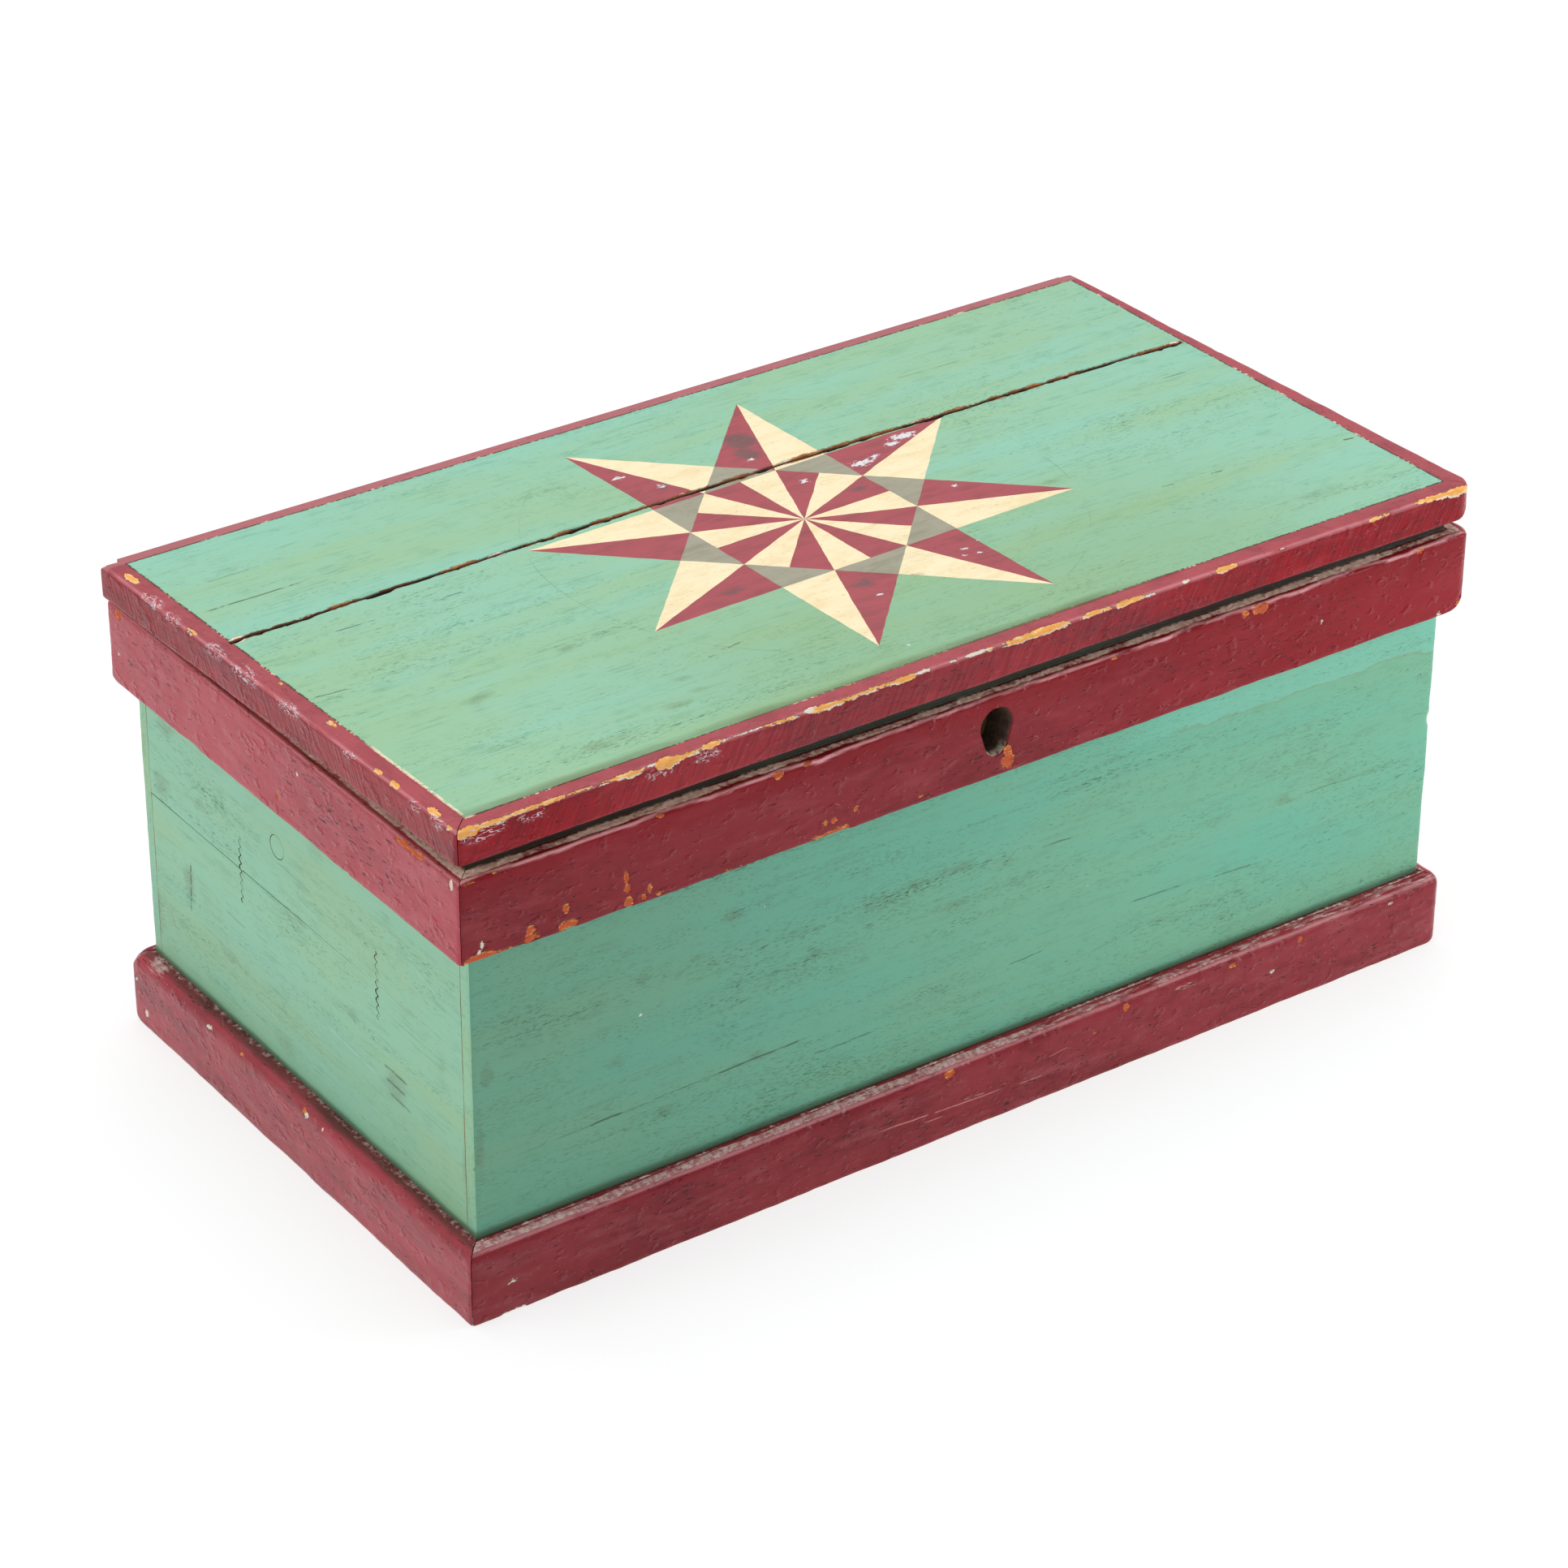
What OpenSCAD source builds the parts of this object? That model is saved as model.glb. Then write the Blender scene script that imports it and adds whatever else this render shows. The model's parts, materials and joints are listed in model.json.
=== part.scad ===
// Sailor's box: a small painted chest of pine boards with a hinged lid.
// Millimetres. +X runs along the front to the right, +Y from front to back, +Z up.
// The origin is under the middle of the whole box, on the surface it stands on.

/* [Carcass] */
// Outside length of the carcass, without its trim
box_l = 508; // [420:1:700]
// Outside depth of the carcass, without its trim
box_d = 268; // [220:1:400]
// Height of the four walls
wall_h = 200; // [160:1:300]
// Thickness of the wall boards
board_t = 16; // [14:0.5:22]
// Wood left at the rabbeted ends of the front and back boards
lip_t = 6.5; // [4:0.5:8]
// Open crack between that lip and the end boards
corner_gap = 0.4; // [0.2:0.1:1]
// Height of the lower board of each end
end_joint_h = 105; // [80:1:120]
// Shrinkage gap between the two boards of an end
end_joint_gap = 0.4; // [0.2:0.1:1]

/* [Bottom] */
// Thickness of the bottom boards
bottom_t = 12.5; // [9:0.5:18]
// Clear height under the bottom boards
bottom_lift = 3; // [1:0.5:8]
// Shrinkage gap between the two bottom boards
bottom_gap = 0.6; // [0.2:0.1:2]

/* [Trim] */
// Height of the band round the top of the carcass
band_h = 38; // [30:1:50]
// Thickness of the band
band_t = 8.5; // [7:0.5:12]
// Height of the plinth
plinth_h = 36; // [28:1:50]
// Thickness of the plinth
plinth_t = 8.5; // [7:0.5:12]
// Radius of the band's upper outer edge
band_round = 2; // [1:0.5:4]
// Radius of the plinth's upper outer edge
plinth_round = 6.5; // [2:0.5:6.5]
// Radius of the worn lower outer edges
low_round = 1; // [0.5:0.5:3]
// Radius of the outer corners in plan
corner_round = 4; // [2:0.5:6]
// Half of the open gap at each mitre
mitre_gap = 0.3; // [0.1:0.1:1]

/* [Lid] */
// Thickness of the two lid boards
panel_t = 12.7; // [10:0.1:20]
// Thickness of the strips on the lid's front and ends
strip_t = 8; // [6:0.5:12]
// Radius of the strips' upper outer edge
strip_round = 2.5; // [1:0.5:4]
// Gap between the strips and the walls that they lap over
lid_gap = 0.5; // [0.3:0.1:1.5]
// Gap between the lid boards and the wall tops when shut
lid_seat = 0.1; // [0.05:0.05:0.3]
// Gap between the strips and the band when shut
strip_gap = 0.3; // [0.2:0.1:1]
// Distance by which the lid's back edge passes the band
lid_back_over = 1; // [0.5:0.5:3]
// Distance by which the right strip's back end passes the lid boards
strip_over = 2.5; // [0:0.5:3]
// Middle of the crack between the lid boards, behind the middle of the carcass
crack_y = 50; // [30:1:70]
// Width of that crack
crack_gap = 2; // [0.5:0.5:3]
// Angle by which the lid stands open at rest
lid_ajar = 1.46; // [0:0.01:3]

/* [Hinges] */
// Length of a hinge
hinge_l = 50; // [40:1:65]
// Distance of each hinge from the middle of the back
hinge_x = 150; // [110:1:170]
// Width of a leaf from the pin's axis
leaf_w = 24; // [22:0.5:25]
// Thickness of a leaf
leaf_t = 1.5; // [1.2:0.1:2.5]
// Gap between the two leaves when shut
leaf_gap = 0.6; // [0.4:0.1:1]
// Diameter of the knuckles
barrel_d = 6; // [5:0.5:8]
// Diameter of the hinge pin
hinge_pin_d = 3; // [2:0.5:3.5]
// Running clearance of the pin in the lid leaf, on the radius
pin_fit = 0.05; // [0.02:0.01:0.1]
// Gap between neighbouring knuckles
knuckle_gap = 0.3; // [0.2:0.1:0.6]
// Distance of the pin's axis behind the lid's back edge
hinge_out = 0.8; // [0.5:0.1:2]
// Distance between the screws of a leaf
hinge_screw_step = 16; // [12:0.5:18]
// Clearance round a let-in leaf or barrel
gain_gap = 0.3; // [0.2:0.1:0.6]

/* [Lock] */
// Width of the lock's plate
lock_w = 76; // [70:1:100]
// Width of the plate on either side of the case, which takes the screws
lock_flange = 8.8; // [8:0.1:12]
// Height of the lock's plate
lock_h = 45; // [42:1:70]
// Thickness of the lock's plates
lock_plate_t = 1.6; // [1.2:0.1:2]
// Depth of the lock's top flange
selvedge_d = 13; // [12.5:0.5:14]
// Thickness of the case's walls
case_wall = 1.2; // [0.8:0.1:1.5]
// Height of the case
case_h = 38; // [37:0.5:40]
// Length of the foot that carries each of the bolt's fingers
finger_post = 4; // [3:0.5:5]
// Height of the sliding bar of the bolt
bar_h = 7; // [6:0.5:7.5]
// Thickness of the bolt's fingers
finger_t = 2.2; // [1.6:0.1:2.4]
// Height of the fingers
finger_h = 2.5; // [2:0.1:3]
// Thickness of a staple along the box
staple_t = 2.5; // [2:0.1:3]
// Width of a staple from front to back
staple_w = 6.4; // [6:0.1:6.6]
// Thickness of a staple's two legs
staple_leg = 1.5; // [1.2:0.1:1.6]
// Depth of a staple below the lid
staple_drop = 8.5; // [8:0.1:9]
// Gap between a withdrawn finger and its staple
finger_gap = 1; // [0.5:0.1:1.5]
// Gap between the bolt and the ends of the case
bar_gap = 0.75; // [0.5:0.05:1]
// Working clearance inside the lock
lock_fit = 0.3; // [0.2:0.1:0.4]
// Distance of the upper lock screws below the wall top
lock_screw_drop = 12; // [10:0.5:14]
// Distance of the lower lock screws above the plate's foot
lock_screw_rise = 7; // [5:0.5:9]
// Distance of the strike's screws beyond its staples
strike_screw_out = 10; // [8:0.5:12]
// Wood or metal kept round the strike's screws and staples
strike_edge = 6; // [5:0.5:8]
// Height of the key's pin below the wall top
key_drop = 20.5; // [20:0.5:22]
// Diameter of the key's pin
key_pin_d = 3; // [2:0.5:4]
// Play of the key's barrel in the case's round hole
key_room = 3.4; // [2:0.1:4]
// Radius swept by the key's bit
key_sweep = 8; // [6:0.5:9]
// Width of the slot for the bit in the case
key_slot_w = 2.6; // [2:0.1:3]
// Length of that slot below the pin
key_slot_l = 9.5; // [8:0.5:11]
// Thickness of the shelf under the bolt
shelf_h = 3; // [2:0.5:4]
// Gap between the bolt's bar and a lowered staple
bolt_drop = 0.5; // [0.3:0.1:0.8]
// Thickness of a staple under its eye
staple_sole = 2.2; // [1.5:0.1:2.5]
// Width of the notch that the key turns the bolt by
notch_w = 8; // [6:0.5:9]
// Depth of that notch
notch_h = 3.4; // [2:0.1:4]
// Thickness of the bolt's spring
spring_t = 0.6; // [0.4:0.1:1]

/* [Keyhole] */
// Radius of the keyhole's round top in the band and the wall
keyhole_r = 7.5; // [5:0.5:9]
// Radius of its narrower foot
keyhole_foot_r = 4.6; // [3:0.1:5]
// Height of the round top's middle below the wall top
keyhole_drop = 17; // [15:0.5:19]
// Distance from the round top's middle down to the foot's middle
keyhole_l = 9.4; // [8:0.1:12]
// Inset of its straight sides from the two rounds
keyhole_bite = 0.3; // [0.2:0.1:0.6]

/* [Fastenings] */
// Length of a corrugated fastener
wave_l = 33; // [25:1:40]
// Number of corrugations in it
wave_n = 8; // [4:1:10]
// Height of a corrugation on either side of its middle
wave_a = 0.9; // [0.5:0.1:2]
// Thickness of its steel
wave_t = 0.8; // [0.5:0.1:1.2]
// Depth of the fasteners in the ends
wave_depth = 12; // [8:0.5:13]
// Depth of the fasteners in the lid
lid_wave_depth = 9; // [6:0.5:10]
// Place of the back fastener in each end
wave_back_y = 49; // [40:1:70]
// Place of the front fastener in each end
wave_front_y = -62; // [-75:1:-40]
// Distance of the outer fasteners under the lid from its middle
lid_wave_x = 170; // [100:1:190]
// Diameter of the wooden plug in the left end
plug_d = 11; // [8:0.5:14]
// Depth of the plug
plug_depth = 10; // [6:0.5:12]
// Place of the plug from front to back
plug_y = 17; // [0:1:30]
// Height of the plug's middle above the joint of the end boards
plug_rise = 27; // [24:1:35]
// Diameter of a nail
nail_d = 2; // [1.5:0.1:3]
// Diameter of a nail's head
nail_head_d = 3.6; // [3:0.1:5]
// Depth to which nails are punched below the surface
nail_set = 1; // [0.5:0.1:2]
// Thickness of a nail's head
nail_head_t = 0.8; // [0.5:0.1:1.5]
// Distance of the outer nails from the ends of a board
nail_edge = 22; // [15:1:30]
// Distance of the carcass nails from the joint of the end boards
nail_joint = 25; // [22:1:35]
// Distance by which the trim's nails stop short of the middle of a wall
nail_clear = 2.5; // [2:0.1:4]
// Length of the nails in the carcass and the bottom
nail_l = 38; // [30:1:45]
// Length of the nails in the lid's strips
strip_nail_l = 25; // [20:1:35]
// Diameter of the screws
screw_d = 3.2; // [2.5:0.1:3.5]
// Diameter of a screw's countersunk head
screw_head_d = 6; // [5:0.1:6]
// Width and depth of the slot in a screw's head
screw_slot = 0.8; // [0.5:0.1:1.2]
// Length of the hinge screws in the walls
screw_l = 15; // [10:1:25]
// Length of the screws in the lid and the lock
short_screw_l = 9; // [6:0.5:10]
// Clearance round nails, screws, plug and fasteners
fast_fit = 0.05; // [0.02:0.01:0.1]

/* [Hidden] */
$fn = 48;
// Heights, from the ground up
wall_z = bottom_lift + bottom_t;
wall_top = wall_z + wall_h;
rim_h = 2 * leaf_t + leaf_gap - lid_seat;
band_top = wall_top - rim_h;
band_z = band_top - band_h;
joint_z = wall_z + end_joint_h;
panel_z = wall_top + lid_seat;
strip_z = band_top + strip_gap;
lid_top = panel_z + panel_t;
strip_h = lid_top - strip_z;

// Places from front to back, from the middle of the carcass
front_y = -box_d / 2;
inner_y = front_y + board_t;
panel_x = box_l / 2 + lid_gap;
panel_front_y = front_y - lid_gap;
lid_back_y = box_d / 2 + band_t + lid_back_over;
hinge_y = lid_back_y + hinge_out;
hinge_z = (band_top + panel_z) / 2;
end_d = box_d - 2 * (lip_t + corner_gap);

// The middle of the whole box, trim and hinge barrels included
front_reach = box_d / 2 + max(band_t, plinth_t, lid_gap + strip_t);
back_reach = hinge_y + barrel_d / 2;
mid_y = (front_reach - back_reach) / 2;

// Number of knuckles in a hinge
knuckles = 5;

// Lock, from the inside face of the front board outwards and from the wall top down
plate_y = inner_y - lock_plate_t;
staple_y = plate_y - lock_fit - staple_w / 2;
finger_y = staple_y - finger_t / 2;
room_y = staple_y - staple_w / 2 - 2 * lock_fit;
case_y = room_y - case_wall;
selvedge_z = wall_top - lock_plate_t;
staple_z = panel_z - staple_drop;
eye_z = staple_z + staple_sole;
finger_z = eye_z + lock_fit;
bar_top = staple_z - bolt_drop;
bar_z = bar_top - bar_h;
case_z = wall_top - case_h;
key_z = wall_top - key_drop;

// Lock, along the box: the staples stand half way along each half of the case
case_room = lock_w / 2 - lock_flange - case_wall;
staple_x = case_room / 2;
finger_l = case_room - bar_gap - staple_x - staple_t / 2 - finger_gap;
bolt_travel = finger_l - finger_post;
bar_x = bar_gap - case_room;
bar_l = 2 * (case_room - bar_gap) - bolt_travel;

GREEN = [0.42, 0.67, 0.55];
RED = [0.52, 0.13, 0.18];
PINE = [0.78, 0.62, 0.42];
IRON = [0.36, 0.34, 0.32];
BRASS = [0.72, 0.58, 0.30];

// Positions of n pieces spread evenly over a length, kept clear of its ends
function row(n, length) = [for (i = [0 : n - 1]) (i / (n - 1) - 0.5) * (length - 2 * nail_edge)];

// Frames of reference

// Puts what is drawn about the carcass where the whole box is centred
module placed() {
    translate([0, mid_y, 0]) children();
}

// Turns what is drawn on the shut lid to where the lid stands at rest
module on_lid() {
    placed()
        translate([0, hinge_y, hinge_z])
            rotate([-lid_ajar, 0, 0])
                translate([0, -hinge_y, -hinge_z])
                    children();
}

// Turns a piece drawn on the front to the given side of a rectangle l by d
module to_side(side, l, d) {
    place = side == "front" ? [0, -d / 2, 0]
        : side == "right" ? [l / 2, 0, 0]
        : side == "back" ? [0, d / 2, 0]
        : [-l / 2, 0, 0];
    turn = side == "front" ? 0 : side == "right" ? 90 : side == "back" ? 180 : 270;
    translate(place) rotate(turn) children();
}

// Shapes that repeat

// Block from the first corner to the second
module block(low, high) {
    translate(low) cube(high - low);
}

// What a rounded edge takes off the lower left corner of a section
module edge_cut(r) {
    difference() {
        translate([-r, -r]) square(2 * r);
        translate([r, r]) circle(r);
        translate([0, r]) square([r, r]);
        translate([r, 0]) square([r, r]);
    }
}

// Section of a strip: inner face on the Y axis, outer face at -t, both outer edges rounded
module strip_section(t, h, top_r, low_r) {
    difference() {
        translate([-t, 0]) square([t, h]);
        translate([-t, 0]) edge_cut(low_r);
        translate([-t, h]) mirror([0, 1]) edge_cut(top_r);
    }
}

// That section run along X
module strip_run(length, t, h, top_r, low_r) {
    rotate([90, 0, 90]) linear_extrude(length, center = true) strip_section(t, h, top_r, low_r);
}

// Upright prism with rounded corners
module rounded_prism(l, d, h, r) {
    block([-l / 2, -d / 2 + r, 0], [l / 2, d / 2 - r, h]);
    block([-l / 2 + r, -d / 2, 0], [l / 2 - r, d / 2, h]);
    for (x = [-1, 1], y = [-1, 1])
        translate([x * (l / 2 - r), y * (d / 2 - r), 0]) cylinder(r = r, h = h);
}

// One mitred side of a frame of trim round the carcass
module trim_side(side, t, h, top_r) {
    along = (side == "front" || side == "back") ? box_l : box_d;
    g = mitre_gap;
    intersection() {
        to_side(side, box_l, box_d) intersection() {
            strip_run(along + 2 * t, t, h, top_r, low_round);
            linear_extrude(h) polygon([
                [-along / 2 + g, 0], [along / 2 - g, 0],
                [along / 2 + t - g, -t], [-along / 2 - t + g, -t]
            ]);
        }
        rounded_prism(box_l + 2 * t, box_d + 2 * t, h, corner_round);
    }
}

// Nail driven along +X, its head punched below the face at x = 0
module nail(length, grow = 0) {
    translate([nail_set - grow, 0, 0]) rotate([0, 90, 0]) {
        cylinder(d = nail_d + 2 * grow, h = length + 2 * grow);
        cylinder(d = nail_head_d + 2 * grow, h = nail_head_t + 2 * grow);
    }
}

// Countersunk slotted screw driven along +X, its head flush with the face at x = 0
module screw(length, grow = 0) {
    sink = (screw_head_d - screw_d) / 2;
    half = screw_slot / 2;
    difference() {
        rotate([0, 90, 0]) {
            cylinder(d1 = screw_head_d + 2 * grow, d2 = screw_d + 2 * grow, h = sink);
            cylinder(d = screw_d + 2 * grow, h = length + grow);
        }
        if (grow == 0) block([-1, -screw_head_d, -half], [screw_slot, screw_head_d, half]);
    }
}

// Corrugated fastener: its wave runs along X, and it is driven down from z = 0
module corrugated(depth, grow = 0) {
    steps = wave_n * 8;
    half = wave_t / 2 + grow;
    length = wave_l + 2 * grow;
    xs = [for (i = [0 : steps]) (i / steps - 0.5) * length];
    wave = [for (x = xs) wave_a * sin(360 * wave_n * x / wave_l)];
    upper = [for (i = [0 : steps]) [xs[i], wave[i] + half]];
    lower = [for (i = [steps : -1 : 0]) [xs[i], wave[i] - half]];
    translate([0, 0, -depth - grow])
        linear_extrude(depth + 2 * grow) polygon(concat(upper, lower));
}

// Keyhole through the band and the wall, cut along Y
module keyhole_cut(from_y, to_y) {
    lean = asin((keyhole_r - keyhole_foot_r) / keyhole_l);
    side = [cos(lean), sin(lean)];
    top_r = keyhole_r - keyhole_bite;
    foot_r = keyhole_foot_r - keyhole_bite;
    foot = [0, keyhole_l];
    translate([0, from_y, wall_top - keyhole_drop]) rotate([-90, 0, 0]) linear_extrude(to_y - from_y) {
        circle(keyhole_r);
        translate(foot) circle(keyhole_foot_r);
        polygon([
            top_r * [-side[0], side[1]], top_r * side,
            foot + foot_r * side, foot + foot_r * [-side[0], side[1]]
        ]);
    }
}

// Groups of fastenings, each also used to cut its own holes

// Nails through the front and back boards into the edges of the ends
module carcass_nail_set(grow = 0) {
    levels = [wall_z + nail_edge, joint_z - nail_joint, joint_z + nail_joint, wall_top - nail_edge];
    for (side = ["front", "back"], x = [-1, 1], z = levels)
        to_side(side, box_l, box_d)
            translate([x * (box_l - board_t) / 2, 0, z]) rotate(90) nail(nail_l, grow);
}

// Nails up through the bottom boards into the walls
module bottom_nail_set(grow = 0) {
    long_y = (box_d - board_t) / 2;
    end_x = (box_l - board_t) / 2;
    ends = [for (x = [-end_x, end_x], y = [-box_d / 4, box_d / 4]) [x, y]];
    sides = [for (y = [-long_y, long_y], x = row(5, box_l)) [x, y]];
    for (at = concat(ends, sides))
        translate([at[0], at[1], bottom_lift]) rotate([0, -90, 0]) nail(nail_l, grow);
}

// Nails through one frame of trim into the walls, at one height
module trim_nail_set(t, z, grow = 0) {
    length = t + board_t / 2 - nail_clear - nail_set;
    for (side = ["front", "back"], x = [-1, -1 / 3, 1 / 3, 1])
        to_side(side, box_l, box_d)
            translate([x * (box_l / 2 - 2 * nail_edge), -t, z]) rotate(90) nail(length, grow);
    for (side = ["left", "right"], x = row(3, box_d))
        to_side(side, box_l, box_d) translate([x, -t, z]) rotate(90) nail(length, grow);
}

module band_nail_set(grow = 0) {
    trim_nail_set(band_t, band_z + band_h / 2, grow);
}

module plinth_nail_set(grow = 0) {
    trim_nail_set(plinth_t, wall_z + (plinth_h - wall_z) / 2, grow);
}

// Nails through the lid's strips into the edges of its boards
module strip_nail_set(grow = 0) {
    z = panel_z + panel_t / 2;
    front_w = crack_y - crack_gap / 2 - panel_front_y;
    back_w = lid_back_y - crack_y - crack_gap / 2;
    side_y = [
        panel_front_y + front_w / 4, panel_front_y + front_w * 3 / 4,
        lid_back_y - back_w / 4, lid_back_y - back_w * 3 / 4
    ];
    for (x = row(5, 2 * panel_x))
        translate([x, panel_front_y - strip_t, z]) rotate(90) nail(strip_nail_l, grow);
    for (y = side_y) {
        translate([-panel_x - strip_t, y, z]) nail(strip_nail_l, grow);
        translate([panel_x + strip_t, y, z]) rotate(180) nail(strip_nail_l, grow);
    }
}

// Corrugated fasteners across the joint of one end's boards
module end_wave_set(end, grow = 0) {
    for (y = [wave_front_y, wave_back_y])
        translate([end * box_l / 2, y, joint_z])
            rotate([0, end * 90, 0]) corrugated(wave_depth, grow);
}

// Corrugated fasteners under the lid, across the joint of its boards
module lid_wave_set(grow = 0) {
    for (x = [-lid_wave_x, 0, lid_wave_x])
        translate([x, crack_y, panel_z]) rotate([0, 180, 90]) corrugated(lid_wave_depth, grow);
}

// Wooden plug in the left end
module plug_shape(grow = 0) {
    translate([-box_l / 2, plug_y, joint_z + plug_rise])
        rotate([0, 90, 0]) cylinder(d = plug_d + 2 * grow, h = plug_depth + grow);
}

// Screws of the two box leaves, or of the two lid leaves
module hinge_screw_set(box_side, grow = 0) {
    y = box_d / 2 - board_t / 2;
    for (hinge = [-1, 1], step = [-1, 0, 1])
        translate([hinge * hinge_x + step * hinge_screw_step, y, 0])
            if (box_side)
                translate([0, 0, band_top + leaf_t]) rotate([0, 90, 0]) screw(screw_l, grow);
            else
                translate([0, 0, panel_z - leaf_t]) rotate([0, -90, 0]) screw(short_screw_l, grow);
}

module lock_screw_set(grow = 0) {
    for (x = [-1, 1], drop = [lock_screw_drop, lock_h - lock_screw_rise])
        translate([x * (lock_w - lock_flange) / 2, inner_y, wall_top - drop])
            rotate(-90) screw(short_screw_l, grow);
}

module strike_screw_set(grow = 0) {
    for (x = [-1, 1])
        translate([x * (staple_x + strike_screw_out), staple_y, panel_z])
            rotate([0, -90, 0]) screw(short_screw_l, grow);
}

// Room that the hinges' knuckles need in the edges beside them
module barrel_room() {
    for (hinge = [-1, 1])
        translate([hinge * hinge_x, hinge_y, hinge_z]) rotate([0, 90, 0])
            cylinder(d = barrel_d + 2 * gain_gap, h = hinge_l + 2 * gain_gap, center = true);
}

// Carcass

// Front or back board, lapping the ends in a rabbet
module long_board(side) {
    over = 1;
    to_side(side, box_l, box_d) difference() {
        block([-box_l / 2, 0, wall_z], [box_l / 2, board_t, wall_top]);
        for (end = [0, 1])
            mirror([end, 0, 0]) block(
                [box_l / 2 - board_t, lip_t, wall_z - over],
                [box_l / 2 + over, board_t + over, wall_top + over]
            );
    }
}

// Room for the lock in the top and the inside of the front board
module lock_room() {
    g = lock_fit;
    case_x = case_room + case_wall + g;
    plate_x = lock_w / 2 + g;
    over = 1;
    block([-case_x, case_y - g, case_z - g], [case_x, inner_y + over, wall_top + over]);
    block([-plate_x, plate_y, wall_top - lock_h - g], [plate_x, inner_y + over, wall_top + over]);
    block([-plate_x, inner_y - selvedge_d - g, selvedge_z], [plate_x, inner_y + over, wall_top + over]);
}

module front_board() {
    color(GREEN) placed() difference() {
        long_board("front");
        lock_room();
        keyhole_cut(front_y - 1, case_y);
        carcass_nail_set(fast_fit);
        bottom_nail_set(fast_fit);
        band_nail_set(fast_fit);
        plinth_nail_set(fast_fit);
        lock_screw_set(fast_fit);
    }
}

module back_board() {
    gain_y = hinge_y - leaf_w - gain_gap;
    half = hinge_l / 2 + gain_gap;
    color(GREEN) placed() difference() {
        long_board("back");
        for (hinge = [-1, 1])
            translate([hinge * hinge_x, 0, 0])
                block([-half, gain_y, band_top], [half, box_d / 2 + 1, wall_top + 1]);
        carcass_nail_set(fast_fit);
        bottom_nail_set(fast_fit);
        band_nail_set(fast_fit);
        plinth_nail_set(fast_fit);
        hinge_screw_set(true, fast_fit);
    }
}

// One board of an end, between two heights
module end_board(end, low_z, high_z) {
    color(GREEN) placed() difference() {
        translate([end * (box_l - board_t) / 2, 0, (low_z + high_z) / 2])
            cube([board_t, end_d, high_z - low_z], center = true);
        end_wave_set(end, fast_fit);
        carcass_nail_set(fast_fit);
        bottom_nail_set(fast_fit);
        band_nail_set(fast_fit);
        plinth_nail_set(fast_fit);
        if (end < 0) plug_shape(fast_fit);
    }
}

module left_end_upper_board() {
    end_board(-1, joint_z + end_joint_gap / 2, wall_top);
}

module left_end_lower_board() {
    end_board(-1, wall_z, joint_z - end_joint_gap / 2);
}

module right_end_upper_board() {
    end_board(1, joint_z + end_joint_gap / 2, wall_top);
}

module right_end_lower_board() {
    end_board(1, wall_z, joint_z - end_joint_gap / 2);
}

// One of the two bottom boards, nailed under the walls
module bottom_board(from_y, to_y) {
    color(PINE) placed() difference() {
        block([-box_l / 2, from_y, bottom_lift], [box_l / 2, to_y, wall_z]);
        bottom_nail_set(fast_fit);
    }
}

module bottom_front_board() {
    bottom_board(front_y, -bottom_gap / 2);
}

module bottom_back_board() {
    bottom_board(bottom_gap / 2, box_d / 2);
}

// Trim

module band(side) {
    color(RED) placed() difference() {
        translate([0, 0, band_z]) trim_side(side, band_t, band_h, band_round);
        band_nail_set(fast_fit);
        if (side == "front") keyhole_cut(front_y - band_t - 1, front_y + 1);
        if (side == "back") barrel_room();
    }
}

module band_front() {
    band("front");
}

module band_back() {
    band("back");
}

module band_left() {
    band("left");
}

module band_right() {
    band("right");
}

module plinth(side) {
    color(RED) placed() difference() {
        trim_side(side, plinth_t, plinth_h, plinth_round);
        plinth_nail_set(fast_fit);
    }
}

module plinth_front() {
    plinth("front");
}

module plinth_back() {
    plinth("back");
}

module plinth_left() {
    plinth("left");
}

module plinth_right() {
    plinth("right");
}

// Fastenings of the box

module left_end_corrugated_fasteners() {
    color(IRON) placed() end_wave_set(-1);
}

module right_end_corrugated_fasteners() {
    color(IRON) placed() end_wave_set(1);
}

module left_end_plug() {
    color(PINE) placed() plug_shape();
}

module carcass_nails() {
    color(IRON) placed() carcass_nail_set();
}

module bottom_nails() {
    color(IRON) placed() bottom_nail_set();
}

module band_nails() {
    color(IRON) placed() band_nail_set();
}

module plinth_nails() {
    color(IRON) placed() plinth_nail_set();
}

// Hinges

// True for the knuckles of the box leaf, which has the outer ones
function box_knuckle(i) = i % 2 == 0;

// The knuckles of one leaf, each grown at its ends and on its radius
module knuckle_set(box_side, grow_r, grow_end) {
    length = hinge_l / knuckles;
    for (i = [0 : knuckles - 1])
        if (box_knuckle(i) == box_side)
            translate([(i - (knuckles - 1) / 2) * length, 0, 0]) rotate([0, 90, 0])
                cylinder(d = barrel_d + 2 * grow_r, h = length + 2 * grow_end, center = true);
}

// One leaf in place on the shut lid's line, its hinge's middle at x
module leaf(box_side, x) {
    bore = hinge_pin_d + (box_side ? 0 : 2 * pin_fit);
    low_z = box_side ? band_top : panel_z - leaf_t;
    difference() {
        union() {
            translate([x, hinge_y, hinge_z]) knuckle_set(box_side, 0, -knuckle_gap / 2);
            block(
                [x - hinge_l / 2, hinge_y - leaf_w, low_z],
                [x + hinge_l / 2, hinge_y, low_z + leaf_t]
            );
        }
        translate([x, hinge_y, hinge_z]) knuckle_set(!box_side, gain_gap, knuckle_gap / 2);
        translate([x, hinge_y, hinge_z]) rotate([0, 90, 0])
            cylinder(d = bore, h = hinge_l + 2, center = true);
        hinge_screw_set(box_side, fast_fit);
    }
}

module box_hinge_leaf_left() {
    color(IRON) placed() leaf(true, -hinge_x);
}

module box_hinge_leaf_right() {
    color(IRON) placed() leaf(true, hinge_x);
}

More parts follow.
